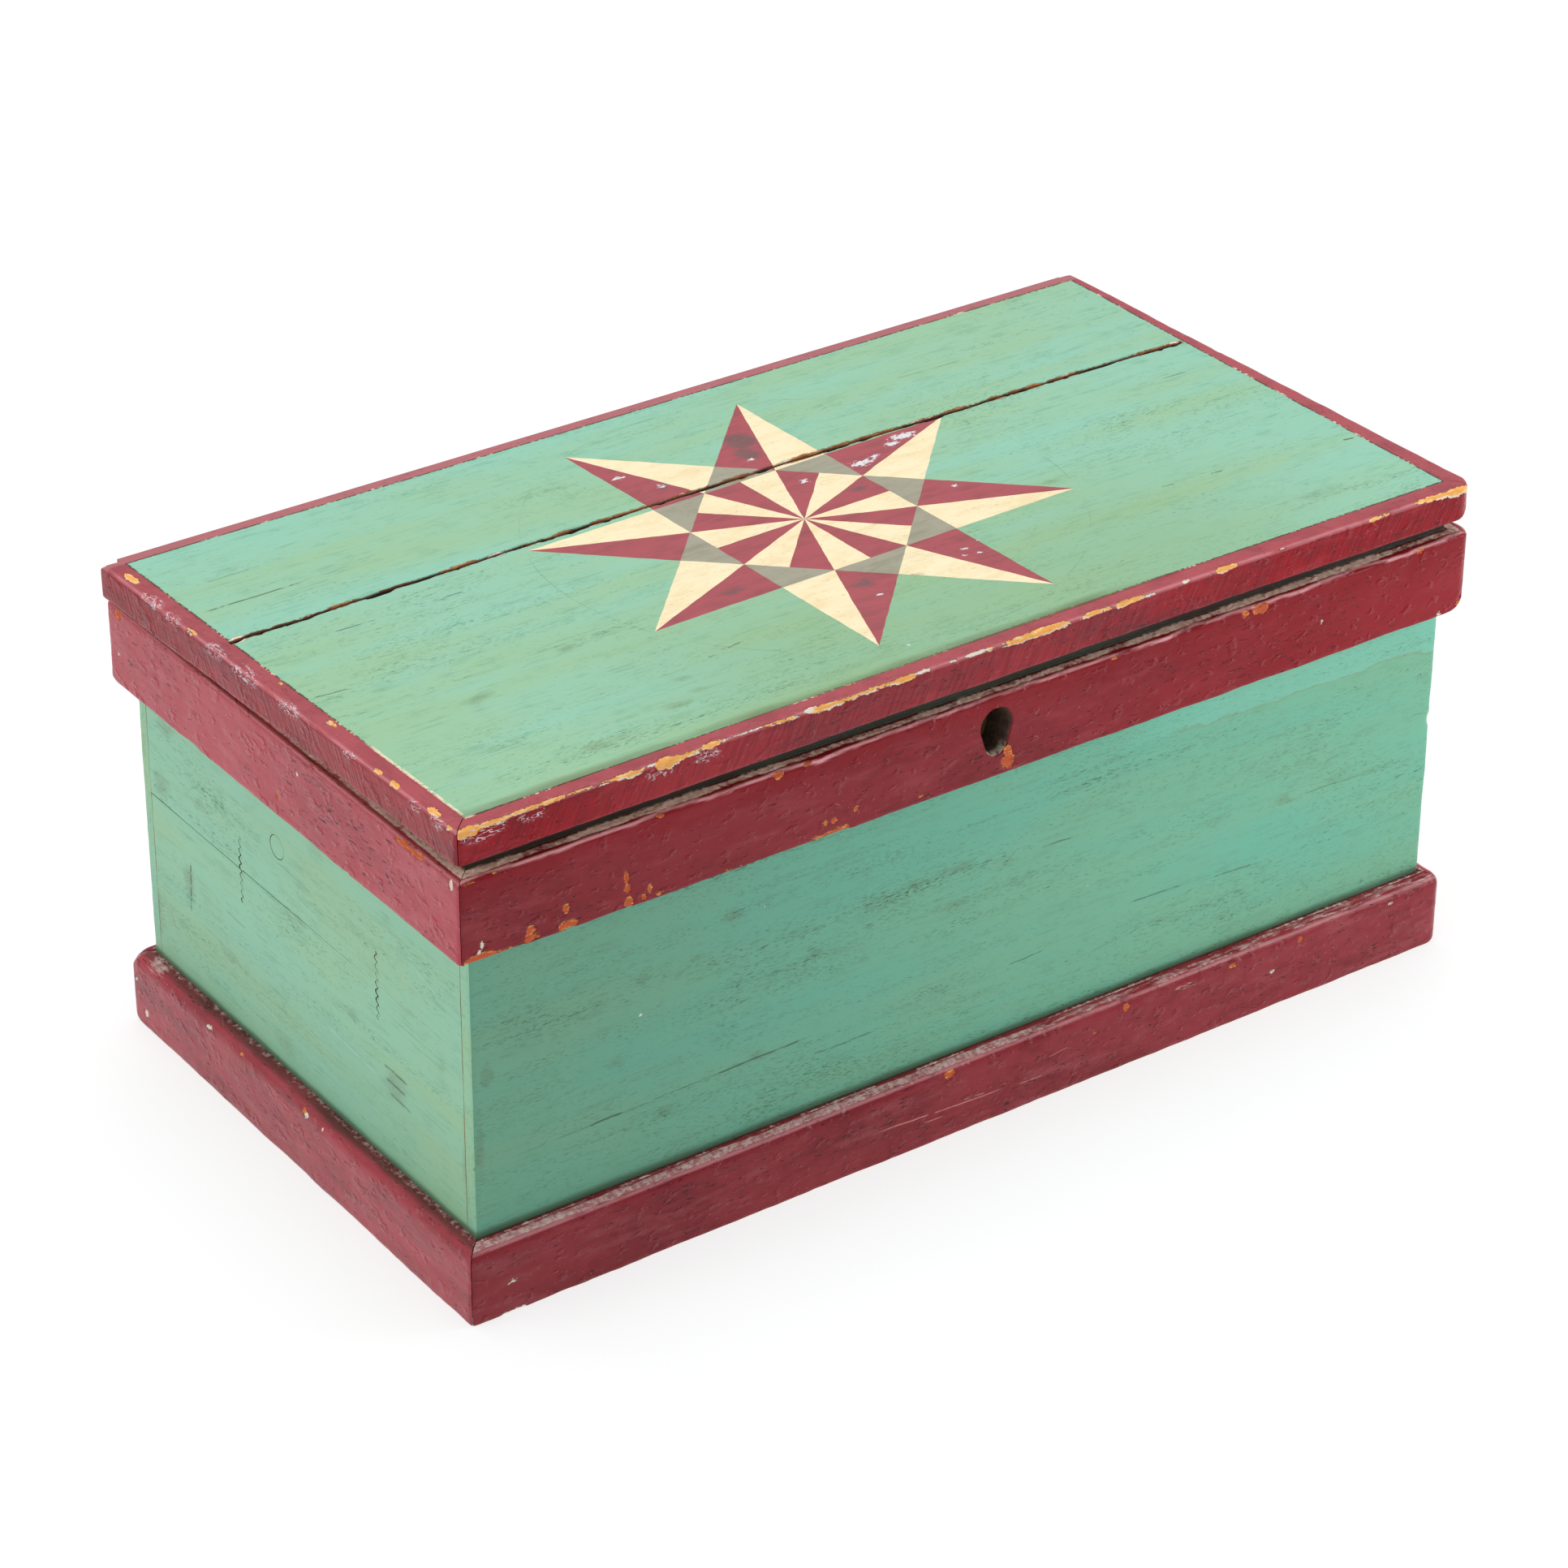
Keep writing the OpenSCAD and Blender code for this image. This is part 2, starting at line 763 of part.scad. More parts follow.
module lid_hinge_leaf_left() {
    color(IRON) on_lid() leaf(false, -hinge_x);
}

module lid_hinge_leaf_right() {
    color(IRON) on_lid() leaf(false, hinge_x);
}

module hinge_pin(x) {
    color(IRON) placed() translate([x, hinge_y, hinge_z]) rotate([0, 90, 0])
        cylinder(d = hinge_pin_d, h = hinge_l, center = true);
}

module hinge_pin_left() {
    hinge_pin(-hinge_x);
}

module hinge_pin_right() {
    hinge_pin(hinge_x);
}

module box_hinge_screws() {
    color(IRON) placed() hinge_screw_set(true);
}

module lid_hinge_screws() {
    color(IRON) on_lid() hinge_screw_set(false);
}

// Lock

// Back plate with its top flange, slotted for the lid's staples
module lock_plate() {
    half = lock_w / 2;
    slot_x = staple_t / 2 + 2 * lock_fit;
    slot_y = staple_w / 2 + 2 * lock_fit;
    color(BRASS) placed() difference() {
        union() {
            block([-half, plate_y, wall_top - lock_h], [half, inner_y, wall_top]);
            block([-half, inner_y - selvedge_d, selvedge_z], [half, inner_y, wall_top]);
        }
        for (x = [-staple_x, staple_x])
            translate([x, staple_y, selvedge_z])
                block([-slot_x, -slot_y, -1], [slot_x, min(slot_y, plate_y - staple_y), lock_plate_t + 1]);
        lock_screw_set(fast_fit);
    }
}

// Case with the shelf and the rib that guide the bolt, and its own keyhole
module lock_case() {
    out_x = case_room + case_wall;
    rib_y = finger_y - lock_fit / 2;
    shelf_x = key_sweep + finger_gap;
    shelf_top = bar_z - lock_fit / 3;
    color(BRASS) placed() difference() {
        union() {
            difference() {
                block([-out_x, case_y, case_z], [out_x, plate_y, selvedge_z]);
                block([-case_room, room_y, case_z + case_wall], [case_room, plate_y + 1, selvedge_z + 1]);
            }
            block([-case_room, room_y, shelf_top], [case_room, rib_y, bar_top - bolt_drop]);
            for (x = [-1, 1])
                translate([x * (case_room + shelf_x) / 2, (room_y + plate_y) / 2, shelf_top - shelf_h / 2])
                    cube([case_room - shelf_x, plate_y - room_y, shelf_h], center = true);
        }
        translate([0, case_y - 1, key_z]) rotate([-90, 0, 0])
            cylinder(d = key_pin_d + key_room, h = case_wall + 2);
        block([-key_slot_w / 2, case_y - 1, key_z - key_slot_l], [key_slot_w / 2, room_y + 1, key_z]);
    }
}

// Pin on which the hollow key turns, standing on the back plate
module lock_key_pin() {
    color(IRON) placed() translate([0, case_y - 1, key_z]) rotate([-90, 0, 0])
        cylinder(d = key_pin_d, h = plate_y - case_y + 1);
}

// Bent spring between the top flange and the bolt's bar, between the two fingers' paths
module lock_spring() {
    low_x = bar_x + finger_l + bolt_travel + lock_fit;
    high_x = bar_x + 2 * staple_x - lock_fit;
    r = (high_x - low_x) / 2;
    foot_z = bar_top + lock_fit / 3;
    bow_z = selvedge_z - r;
    depth = plate_y - finger_y;
    mid_x = (low_x + high_x) / 2;
    color(IRON) placed() translate([mid_x, plate_y, 0]) rotate([90, 0, 0]) linear_extrude(depth)
        difference() {
            union() {
                translate([0, bow_z]) circle(r);
                translate([-r, foot_z]) square([2 * r, bow_z - foot_z]);
            }
            translate([0, bow_z]) circle(r - spring_t);
            translate([spring_t - r, foot_z - r]) square([2 * (r - spring_t), bow_z - foot_z + r]);
            translate([-r - 1, foot_z - 2 * r]) square([2 * r + 2, 2 * r]);
        }
}

module lock_screws() {
    color(IRON) placed() lock_screw_set();
}

// Bolt: a bar on the shelf, with a notch for the key and two fingers for the staples
module lock_bolt() {
    back_y = plate_y - lock_fit / 3;
    notch_x = -(bolt_travel + notch_w) / 2;
    color(BRASS) placed() difference() {
        union() {
            block([bar_x, finger_y, bar_z], [bar_x + bar_l, back_y, bar_top]);
            for (step = [0, 2 * staple_x]) translate([bar_x + step, 0, 0]) {
                block([0, finger_y, bar_top - 1], [finger_post, finger_y + finger_t, finger_z + finger_h]);
                block([0, finger_y, finger_z], [finger_l, finger_y + finger_t, finger_z + finger_h]);
            }
        }
        block([notch_x, finger_y - 1, bar_z - 1], [notch_x + notch_w, back_y + 1, bar_z + notch_h]);
    }
}

// Lid

// The lid's strike plate, let in flush, with its two staples
module strike_shape(grow = 0) {
    half = staple_x + strike_screw_out + strike_edge;
    block(
        [-half - grow, staple_y - strike_edge - grow, panel_z - grow],
        [half + grow, staple_y + strike_edge + grow, panel_z + lock_plate_t + grow]
    );
}

module lock_strike() {
    eye = staple_w - 2 * staple_leg;
    color(BRASS) on_lid() difference() {
        union() {
            strike_shape();
            for (x = [-staple_x, staple_x])
                translate([x, staple_y, 0]) block(
                    [-staple_t / 2, -staple_w / 2, staple_z],
                    [staple_t / 2, staple_w / 2, panel_z + lock_plate_t / 2]
                );
        }
        for (x = [-staple_x, staple_x])
            translate([x, staple_y, 0])
                block([-staple_t, -eye / 2, eye_z], [staple_t, eye / 2, panel_z]);
        strike_screw_set(fast_fit);
    }
}

module strike_screws() {
    color(IRON) on_lid() strike_screw_set();
}

// One of the two lid boards
module lid_board(from_y, to_y) {
    color(GREEN) on_lid() difference() {
        block([-panel_x, from_y, panel_z], [panel_x, to_y, lid_top]);
        lid_wave_set(fast_fit);
        strip_nail_set(fast_fit);
        strike_shape(fast_fit);
        strike_screw_set(fast_fit);
        hinge_screw_set(false, fast_fit);
        barrel_room();
    }
}

module lid_front_board() {
    lid_board(panel_front_y, crack_y - crack_gap / 2);
}

module lid_back_board() {
    lid_board(crack_y + crack_gap / 2, lid_back_y);
}

// Outline of the lid with its strips, its front corners rounded
module lid_outline() {
    l = 2 * (panel_x + strip_t);
    tail = 20;
    front = panel_front_y - strip_t;
    back = lid_back_y + strip_over + tail;
    translate([0, (front + back) / 2, strip_z]) rounded_prism(l, back - front, strip_h, corner_round);
}

module lid_front_strip() {
    g = mitre_gap;
    color(RED) on_lid() difference() {
        intersection() {
            translate([0, panel_front_y, strip_z])
                strip_run(2 * (panel_x + strip_t), strip_t, strip_h, strip_round, low_round);
            translate([0, panel_front_y, strip_z]) linear_extrude(strip_h) polygon([
                [-panel_x + g, 0], [panel_x - g, 0],
                [panel_x + strip_t - g, -strip_t], [-panel_x - strip_t + g, -strip_t]
            ]);
            lid_outline();
        }
        strip_nail_set(fast_fit);
    }
}

// Strip on one end of the lid, mitred to the front strip
module lid_side_strip(end, back_y) {
    g = mitre_gap;
    color(RED) on_lid() difference() {
        intersection() {
            translate([end * panel_x, 0, strip_z]) rotate(end * 90)
                strip_run(2 * back_y + box_d, strip_t, strip_h, strip_round, low_round);
            translate([0, 0, strip_z]) linear_extrude(strip_h) polygon([
                [end * panel_x, panel_front_y + g],
                [end * (panel_x + strip_t), panel_front_y - strip_t + g],
                [end * (panel_x + strip_t), back_y],
                [end * panel_x, back_y]
            ]);
            lid_outline();
        }
        strip_nail_set(fast_fit);
    }
}

module lid_left_strip() {
    lid_side_strip(-1, lid_back_y);
}

module lid_right_strip() {
    lid_side_strip(1, lid_back_y + strip_over);
}

module lid_corrugated_fasteners() {
    color(IRON) on_lid() lid_wave_set();
}

module lid_strip_nails() {
    color(IRON) on_lid() strip_nail_set();
}

front_board();
back_board();
left_end_upper_board();
left_end_lower_board();
right_end_upper_board();
right_end_lower_board();
bottom_front_board();
bottom_back_board();
band_front();
band_back();
band_left();
band_right();
plinth_front();
plinth_back();
plinth_left();
plinth_right();
left_end_corrugated_fasteners();
right_end_corrugated_fasteners();
left_end_plug();
carcass_nails();
bottom_nails();
band_nails();
plinth_nails();
box_hinge_leaf_left();
box_hinge_leaf_right();
hinge_pin_left();
hinge_pin_right();
box_hinge_screws();
lock_plate();
lock_case();
lock_key_pin();
lock_spring();
lock_screws();
lock_bolt();
lid_front_board();
lid_back_board();
lid_front_strip();
lid_left_strip();
lid_right_strip();
lid_corrugated_fasteners();
lid_strip_nails();
lid_hinge_leaf_left();
lid_hinge_leaf_right();
lid_hinge_screws();
lock_strike();
strike_screws();
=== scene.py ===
"""Looks of a small painted pine chest: fine meshes, worn paint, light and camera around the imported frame."""
import json
import math

import bmesh
import bpy
import numpy as np
from mathutils import Matrix, Vector


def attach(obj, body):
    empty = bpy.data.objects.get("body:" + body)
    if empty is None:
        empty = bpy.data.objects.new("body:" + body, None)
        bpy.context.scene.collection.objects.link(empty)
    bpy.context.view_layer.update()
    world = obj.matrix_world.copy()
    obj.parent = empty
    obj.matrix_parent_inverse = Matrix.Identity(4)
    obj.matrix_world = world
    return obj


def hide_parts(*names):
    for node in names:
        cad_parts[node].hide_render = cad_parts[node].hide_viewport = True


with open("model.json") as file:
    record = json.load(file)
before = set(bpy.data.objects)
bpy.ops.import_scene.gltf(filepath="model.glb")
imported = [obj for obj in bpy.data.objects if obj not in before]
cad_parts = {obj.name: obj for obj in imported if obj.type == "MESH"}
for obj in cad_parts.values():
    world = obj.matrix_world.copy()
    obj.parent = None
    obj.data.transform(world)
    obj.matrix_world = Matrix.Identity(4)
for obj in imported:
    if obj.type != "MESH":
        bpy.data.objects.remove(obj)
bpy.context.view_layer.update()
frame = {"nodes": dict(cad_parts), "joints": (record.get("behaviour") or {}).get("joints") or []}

# Units and sizes in millimetres, taken from the frame
MM = 0.001
HINGE = next(joint for joint in frame["joints"] if joint["name"] == "lid_hinge")
HINGE_Y = HINGE["pos_m"][1] / MM
HINGE_Z = HINGE["pos_m"][2] / MM
AJAR = math.radians(-HINGE["range_deg"][0])


def swing(points, angle):
    """Points turned about the lid's hinge, with a positive angle opening the lid."""
    y = points[..., 1] - HINGE_Y
    z = points[..., 2] - HINGE_Z
    turned_y = y * math.cos(angle) + z * math.sin(angle)
    turned_z = z * math.cos(angle) - y * math.sin(angle)
    return np.stack([points[..., 0], turned_y + HINGE_Y, turned_z + HINGE_Z], axis=-1)


def mesh_points(mesh):
    """A mesh's vertices as an array (n, 3)."""
    flat = np.empty(len(mesh.vertices) * 3, np.float32)
    mesh.vertices.foreach_get("co", flat)
    return flat.reshape(-1, 3).astype(float)


def node_box(node, shut=False):
    """A node's lowest and highest corners, for a lid node also as it lies on the shut lid."""
    points = mesh_points(frame["nodes"][node].data) / MM
    if shut:
        points = swing(points, -AJAR)
    return points.min(0), points.max(0)


FRONT_LOW, FRONT_HIGH = node_box("front_board")
END_LOW, END_HIGH = node_box("left_end_upper_board")
WALL_X = FRONT_HIGH[0]
WALL_FRONT = FRONT_LOW[1]
WALL_BACK = node_box("back_board")[1][1]
WALL_LOW = FRONT_LOW[2]
WALL_TOP = FRONT_HIGH[2]
MIDDLE_Y = (WALL_FRONT + WALL_BACK) / 2
BOARD = FRONT_HIGH[1] - FRONT_LOW[1]
JOINT_LOW = node_box("left_end_lower_board")[1][2]
JOINT_HIGH = END_LOW[2]
CORNER_GAP = 0.4
LIP = END_LOW[1] - WALL_FRONT - CORNER_GAP

BAND_LOW = node_box("band_front")[0][2]
BAND_TOP = node_box("band_front")[1][2]
TRIM = WALL_FRONT - node_box("band_front")[0][1]
PLINTH_TOP = node_box("plinth_front")[1][2]
MITRE_GAP = 0.3
KEYHOLE_DROP = 17.0
KEYHOLE_Z = WALL_TOP - KEYHOLE_DROP
KEYHOLE_R = 7.5
FOOT_R = 4.6
FOOT_DROP = 9.4
FIT_GAP = 0.3

PANEL_LOW, PANEL_HIGH = node_box("lid_front_board", shut=True)
PANEL_X = PANEL_HIGH[0]
PANEL_FRONT = PANEL_LOW[1]
PANEL_UNDER = PANEL_LOW[2]
LID_TOP = PANEL_HIGH[2]
LID_BACK = node_box("lid_back_board", shut=True)[1][1]
CRACK_FRONT = PANEL_HIGH[1]
CRACK_BACK = node_box("lid_back_board", shut=True)[0][1]
CRACK_MIDDLE = (CRACK_FRONT + CRACK_BACK) / 2
STRIP_LOW = node_box("lid_front_strip", shut=True)[0][2]
STRIP = PANEL_FRONT - node_box("lid_front_strip", shut=True)[0][1]
STRIP_BACK = {side: node_box(f"lid_{side}_strip", shut=True)[1][1] for side in ("left", "right")}
HINGE_BOXES = [node_box(f"box_hinge_leaf_{side}") for side in ("left", "right")]


# Noise

def value_noise(points, seed):
    """Smooth noise from -1 to 1 at points (n, 3), with one lattice cell per unit."""
    cell = np.floor(points)
    part = points - cell
    part = part * part * (3 - 2 * part)
    cell = cell.astype(np.int64)
    total = np.zeros(len(points))
    for corner in range(8):
        step = np.array([corner & 1, corner >> 1 & 1, corner >> 2 & 1])
        spot = (cell + step).astype(np.uint64)
        key = spot[:, 0] * np.uint64(73856093) ^ spot[:, 1] * np.uint64(19349663)
        key ^= spot[:, 2] * np.uint64(83492791) ^ np.uint64(seed * 2654435761)
        key = (key ^ (key >> np.uint64(15))) * np.uint64(2246822519)
        key = (key ^ (key >> np.uint64(13))) * np.uint64(3266489917)
        value = ((key >> np.uint64(16)) & np.uint64(0xFFFF)).astype(float) / 32767.5 - 1
        total += value * np.prod(np.where(step == 1, part, 1 - part), axis=1)
    return total


def layered_noise(points, size, seed, layers=3):
    """Noise in several layers, the broadest with features of the given size in millimetres."""
    spots = points.reshape(-1, 3)
    total = np.zeros(len(spots))
    for layer in range(layers):
        total += value_noise(spots * 2 ** layer / size, seed + layer) * 0.5 ** layer
    return total.reshape(points.shape[:-1])


def edge_line(along, lane=0.0):
    """Places for noise that changes along an edge only; each lane has its own."""
    return np.stack([along, np.zeros_like(along), np.zeros_like(along) + lane], axis=-1)


def soft_step(value, low, high):
    """0 at low, 1 at high, smooth between; low may be the larger."""
    part = np.clip((value - low) / (high - low), 0, 1)
    return part * part * (3 - 2 * part)


# Meshes

def outline(corners):
    """A closed outline. Each corner has x, y, a radius and the spacing of points up to the next corner."""
    spots = [np.array(corner[:2], float) for corner in corners]
    arcs = []
    for index, here in enumerate(spots):
        radius = corners[index][2]
        back = spots[index - 1] - here
        ahead = spots[(index + 1) % len(spots)] - here
        back /= np.linalg.norm(back)
        ahead /= np.linalg.norm(ahead)
        centre = here + (back + ahead) * radius
        steps = max(2, round(radius * 2)) if radius else 0
        turns = [math.pi / 2 * k / steps for k in range(steps + 1)] if steps else [0]
        arcs.append([centre - ahead * radius * math.cos(t) - back * radius * math.sin(t) for t in turns])
    points = []
    for index, arc in enumerate(arcs):
        points.extend(arc)
        gap = arcs[(index + 1) % len(arcs)][0] - arc[-1]
        pieces = max(1, round(float(np.linalg.norm(gap)) / corners[index][3]))
        points.extend(arc[-1] + gap * k / pieces for k in range(1, pieces))
    return np.array(points)


def swept(profile, stations, axis):
    """Points (stations, around, 3) of an outline carried along one axis."""
    points = np.empty((len(stations), len(profile), 3))
    points[..., axis] = stations[:, None]
    points[..., [k for k in range(3) if k != axis]] = profile
    return points


def tube_normals(points):
    """Outward normals of a closed tube of points (stations, around, 3)."""
    along = np.gradient(points, axis=0)
    around = np.roll(points, -1, axis=1) - np.roll(points, 1, axis=1)
    normals = np.cross(along, around)
    normals /= np.maximum(np.linalg.norm(normals, axis=-1, keepdims=True), 1e-9)
    middle = points.mean(axis=1, keepdims=True)
    return normals * np.sign((normals * (points - middle)).sum())


def tube_mesh(name, points):
    """A closed mesh of a tube of points (stations, around, 3) with a flat cap at each end."""
    stations, around = points.shape[:2]
    index = np.arange(stations * around).reshape(stations, around)
    beside = np.roll(index, -1, axis=1)
    faces = np.stack([index[:-1], beside[:-1], beside[1:], index[1:]], axis=-1).reshape(-1, 4).tolist()
    faces.append(index[0, ::-1].tolist())
    faces.append(index[-1].tolist())
    mesh = bpy.data.meshes.new(name)
    mesh.from_pydata(points.reshape(-1, 3).tolist(), [], faces)
    shape = bmesh.new()
    shape.from_mesh(mesh)
    bmesh.ops.recalc_face_normals(shape, faces=shape.faces)
    shape.to_mesh(mesh)
    shape.free()
    return mesh


def loft(rings):
    """A closed mesh through rings of as many points each, capped at both ends."""
    shape = bmesh.new()
    loops = [[shape.verts.new(point) for point in ring] for ring in rings]
    count = len(loops[0])
    shape.faces.new(loops[0])
    shape.faces.new(loops[-1][::-1])
    for first, second in zip(loops, loops[1:]):
        for k in range(count):
            ahead = (k + 1) % count
            shape.faces.new((first[k], first[ahead], second[ahead], second[k]))
    bmesh.ops.recalc_face_normals(shape, faces=shape.faces)
    mesh = bpy.data.meshes.new("loft")
    shape.to_mesh(mesh)
    shape.free()
    return mesh


def bar_x(points, low, high):
    """A closed mesh of a (y, z) outline between two places along X."""
    return loft([[(x, y, z) for y, z in points] for x in (low, high)])


def block(low, high):
    """A box-shaped cutter between two corners."""
    corners = [(low[1], low[2]), (high[1], low[2]), (high[1], high[2]), (low[1], high[2])]
    return bar_x(corners, low[0], high[0])


def round_points(y, z, radius, count=48):
    """Points of a circle about (y, z)."""
    turns = [2 * math.pi * k / count for k in range(count)]
    return [(y + radius * math.cos(t), z + radius * math.sin(t)) for t in turns]


def cut(mesh, cutters):
    """The mesh with each cutter's shape taken out of it."""
    body = bpy.data.objects.new("cut_body", mesh)
    bpy.context.scene.collection.objects.link(body)
    tools = []
    for cutter in cutters:
        tool = bpy.data.objects.new("cut_tool", cutter)
        bpy.context.scene.collection.objects.link(tool)
        tools.append(tool)
        modifier = body.modifiers.new("cut", "BOOLEAN")
        modifier.operation = "DIFFERENCE"
        modifier.solver = "EXACT"
        modifier.object = tool
    bpy.context.view_layer.update()
    graph = bpy.context.evaluated_depsgraph_get()
    result = bpy.data.meshes.new_from_object(body.evaluated_get(graph))
    for item in tools + [body]:
        bpy.data.objects.remove(item)
    return result


# Wear

NO_CHIP = 3.0


def chip_field(along, down, chips, seed):
    """Millimetres by which a point lies inside ragged chips, counted up from -NO_CHIP."""
    field = np.full(along.shape, -NO_CHIP)
    spots = np.stack([along, down * 0.6, np.full_like(along, seed)], axis=-1)
    swell = layered_noise(spots, 11.0, seed + 11, 5)
    drift = layered_noise(spots, 30.0, seed + 23)
    for from_s, to_s, from_t, to_t in chips:
        half_s = (to_s - from_s) / 2
        half_t = (to_t - from_t) / 2
        far = np.abs(along - (from_s + to_s) / 2) / half_s
        room = half_t * (0.92 + 0.85 * swell) * np.sqrt(np.maximum(1 - far ** 4, 0))
        off = np.abs(down - (from_t + to_t) / 2 + 0.4 * half_t * drift)
        field = np.maximum(field, room - off - np.maximum(far - 1, 0) * half_s)
    return field


def spots_field(u, v, spots):
    """Soft spots, each with a middle, its two half widths and a strength."""
    field = np.zeros(u.shape)
    for spot_u, spot_v, half_u, half_v, strength in spots:
        near = 1 - np.hypot((u - spot_u) / half_u, (v - spot_v) / half_v)
        field = np.maximum(field, strength * np.clip(near, 0, 1))
    return field


def scattered_chips(seed, count, span, reach):
    """Small chips strewn along an edge by a seeded draw."""
    draw = np.random.default_rng(seed)
    chips = {"wood": [], "primer": []}
    for _ in range(count):
        middle = draw.uniform(*span)
        half = draw.uniform(0.8, 5.0)
        top = draw.uniform(-1.6, 0.2)
        kind = "wood" if draw.random() < 0.7 else "primer"
        chips[kind].append((middle - half, middle + half, top, top + draw.uniform(1.2, reach)))
    return chips


# Chips along the lid's front upper edge: from x, to x, then from and to across the edge (below 0 on top)
LID_FRONT_CHIPS = {
    "wood": [
        (-262, -252, -2.0, 2.4), (-254, -238, -0.8, 1.4), (-240, -222, -0.7, 0.9),
        (-223, -212, -1.0, 1.2), (-211, -177, -1.0, 0.9), (-184, -174, -1.5, 1.7),
        (-170, -150, -2.0, 3.6), (-150, -136, -0.8, 1.2), (-118, -102, -1.2, 1.8), (-94, -71, -0.8, 2.2),
        (-72, -50, -0.7, 1.0), (-53, -42, -1.0, 1.6), (-6, 38, -1.5, 2.0), (44, 60, -1.0, 1.4),
        (62, 78, -0.9, 1.6), (116, 128, -1.2, 2.0), (201, 213, 0.0, 2.8), (227, 247, -1.4, 1.6),
        (246, 262, -1.4, 2.2),
    ],
    "primer": [
        (-238, -224, 0.2, 1.2), (-174, -168, -0.8, 0.6), (-158, -148, 0.6, 3.0), (-141, -130, -1.0, 1.1),
        (-130, -117, -0.5, 0.5), (-112, -100, 0.0, 2.2), (-98, -90, -1.0, 1.1), (-44, -34, -0.6, 0.6),
        (-25, -21, -0.6, 0.7), (-17, -4, -0.8, 0.9), (0, 38, 0.8, 2.6), (68, 83, 0.2, 1.8),
        (98, 102, -0.6, 1.0), (150, 154, -0.6, 1.0),
    ],
}
# Chips on the lid's left strip, the first pair along y
LID_LEFT_CHIPS = {
    "wood": [
        (115, 127, -5.4, -2.6), (60, 68, -2.6, -0.2), (0, 4, -8.4, -6.2), (-44, -37, -8.2, -5.8),
        (-88, -82, -1.8, 0.4), (-101, -94, -1.9, 0.8), (-130, -121, -3.0, -0.4), (-143, -137, -1.8, 2.4),
    ],
    "primer": [
        (62, 67, -0.4, 1.4), (40, 44, -1.6, 0.4),
    ],
}
# Chips on the band and the plinth, the second pair in millimetres below the upper edge
BAND_FRONT_CHIPS = {
    "wood": [
        (-261, -246, 34.4, 39.6), (-249, -232, 35.0, 39.6), (-231.6, -227.8, 29.6, 33.5),
        (-233, -226, 32.8, 37.2), (-217, -208, 32.6, 37.8), (-214.6, -212, 24, 29.8),
        (-185.2, -183.6, 20, 26.6), (-185.8, -182.8, 27, 30.8), (-185.2, -181.8, 32.8, 37.8),
        (-174.4, -172.4, 30, 33.8), (-170.4, -166.8, 34.6, 36.8), (-177.6, -175.4, 34.2, 36.2),
        (-137, -128.6, 34.6, 38.4), (-94, -75, 35.2, 38.4), (-88.8, -85.8, 28.6, 34),
        (-84, -81.6, 29.6, 33), (-72.8, -70.6, 28, 31), (-40, -35.8, 32.2, 36.2), (4, 8.2, 26, 31),
        (3, 9.6, 30.2, 36.2), (131.5, 135, -0.4, 4.2), (137, 146, -0.6, 4.2), (230, 234, 0, 2),
        (256, 261, 32, 36), (60, 64, 0, 1.4), (-261, -255, -0.6, 2.2), (-247, -243, -1.0, 0.8),
        (-170, -166, -0.8, 0.9), (-113, -108, -0.8, 1.2), (-98, -94, -0.8, 1.0),
    ],
    "primer": [
        (-253.2, -251.8, 28.6, 32.6), (-254.9, -253.1, 32.8, 35.8), (245, 248, 35.6, 36.8),
        (176.3, 177.7, 18.6, 20),
    ],
}
BAND_LEFT_CHIPS = {
    "wood": [
        (-120, -97, -0.8, 2.6), (125, 131, -0.6, 4.0), (-34, -31, -1.0, 0.6), (62, 76, 37, 39),
        (-4.6, -2, 27, 29.4), (-60, -56, 36.8, 38.6), (10, 18, 37.2, 38.8),
    ],
    "primer": [
        (129.4, 131.4, 20.8, 22.8), (117.6, 119.6, 18.8, 20.4), (-22, -20, 8.6, 10.4),
        (-140, -137.6, 0, 5),
    ],
}
PLINTH_FRONT_CHIPS = {
    "wood": [
        (-22, -16, 2.2, 5.6), (76, 79, 3.4, 6.6), (59, 61.4, 11, 13), (136, 140, 3.6, 6.6),
        (176, 179, 3.4, 7.0),
    ],
    "primer": [
        (-245, -240, 20, 21), (-248, -236, 34.6, 36.4), (-206, -196, 35.2, 36.6), (160, 163, 16.6, 17.8),
        (230, 233, 4.6, 6.2),
    ],
}
PLINTH_LEFT_CHIPS = {
    "wood": [
        (-12.6, -9.6, 1.4, 3.4), (40, 43, 2.4, 4.0),
    ],
    "primer": [
        (134.2, 135.8, 12, 14.4), (126.4, 129, 26, 29.6), (67.2, 71.6, 2.4, 5.4), (-15, -12, 3, 5.8),
        (-27.8, -26.8, 2.4, 4.6),
    ],
}


def lid_left_marks(along, down):
    """Lint caught along the left strip's upper edge."""
    y = along - MIDDLE_Y
    tufts = [(100, -1, 12, 6, 1.1), (82, 0, 11, 5, 1.1), (46, 0, 11, 6, 1.25), (22, 0.5, 16, 6, 1.35),
             (-14, 1, 12, 5, 1.25), (-62, 1, 10, 4, 0.9), (-112, 2, 8, 5, 0.9), (-128, 2, 7, 5, 1.2)]
    return {"lint": spots_field(y, down, tufts)}


def lid_front_marks(along, down):
    """Lint at the front left corner and below the worn edge."""
    tufts = [(-250, 4, 16, 6, 1), (-228, 4, 10, 4, 0.9), (-168, 5, 10, 4, 1.1), (-146, 5, 10, 4, 1.2)]
    return {"lint": spots_field(along, down, tufts)}


def band_front_marks(along, down):
    """A long, wavering glossy rub with a painted highlight on the turn of the edge."""
    sway = 1.1 * layered_noise(edge_line(along), 18.0, 71)
    return {"edge": soft_step(np.abs(down + 1.1 + sway), 1.6, 0.4)}


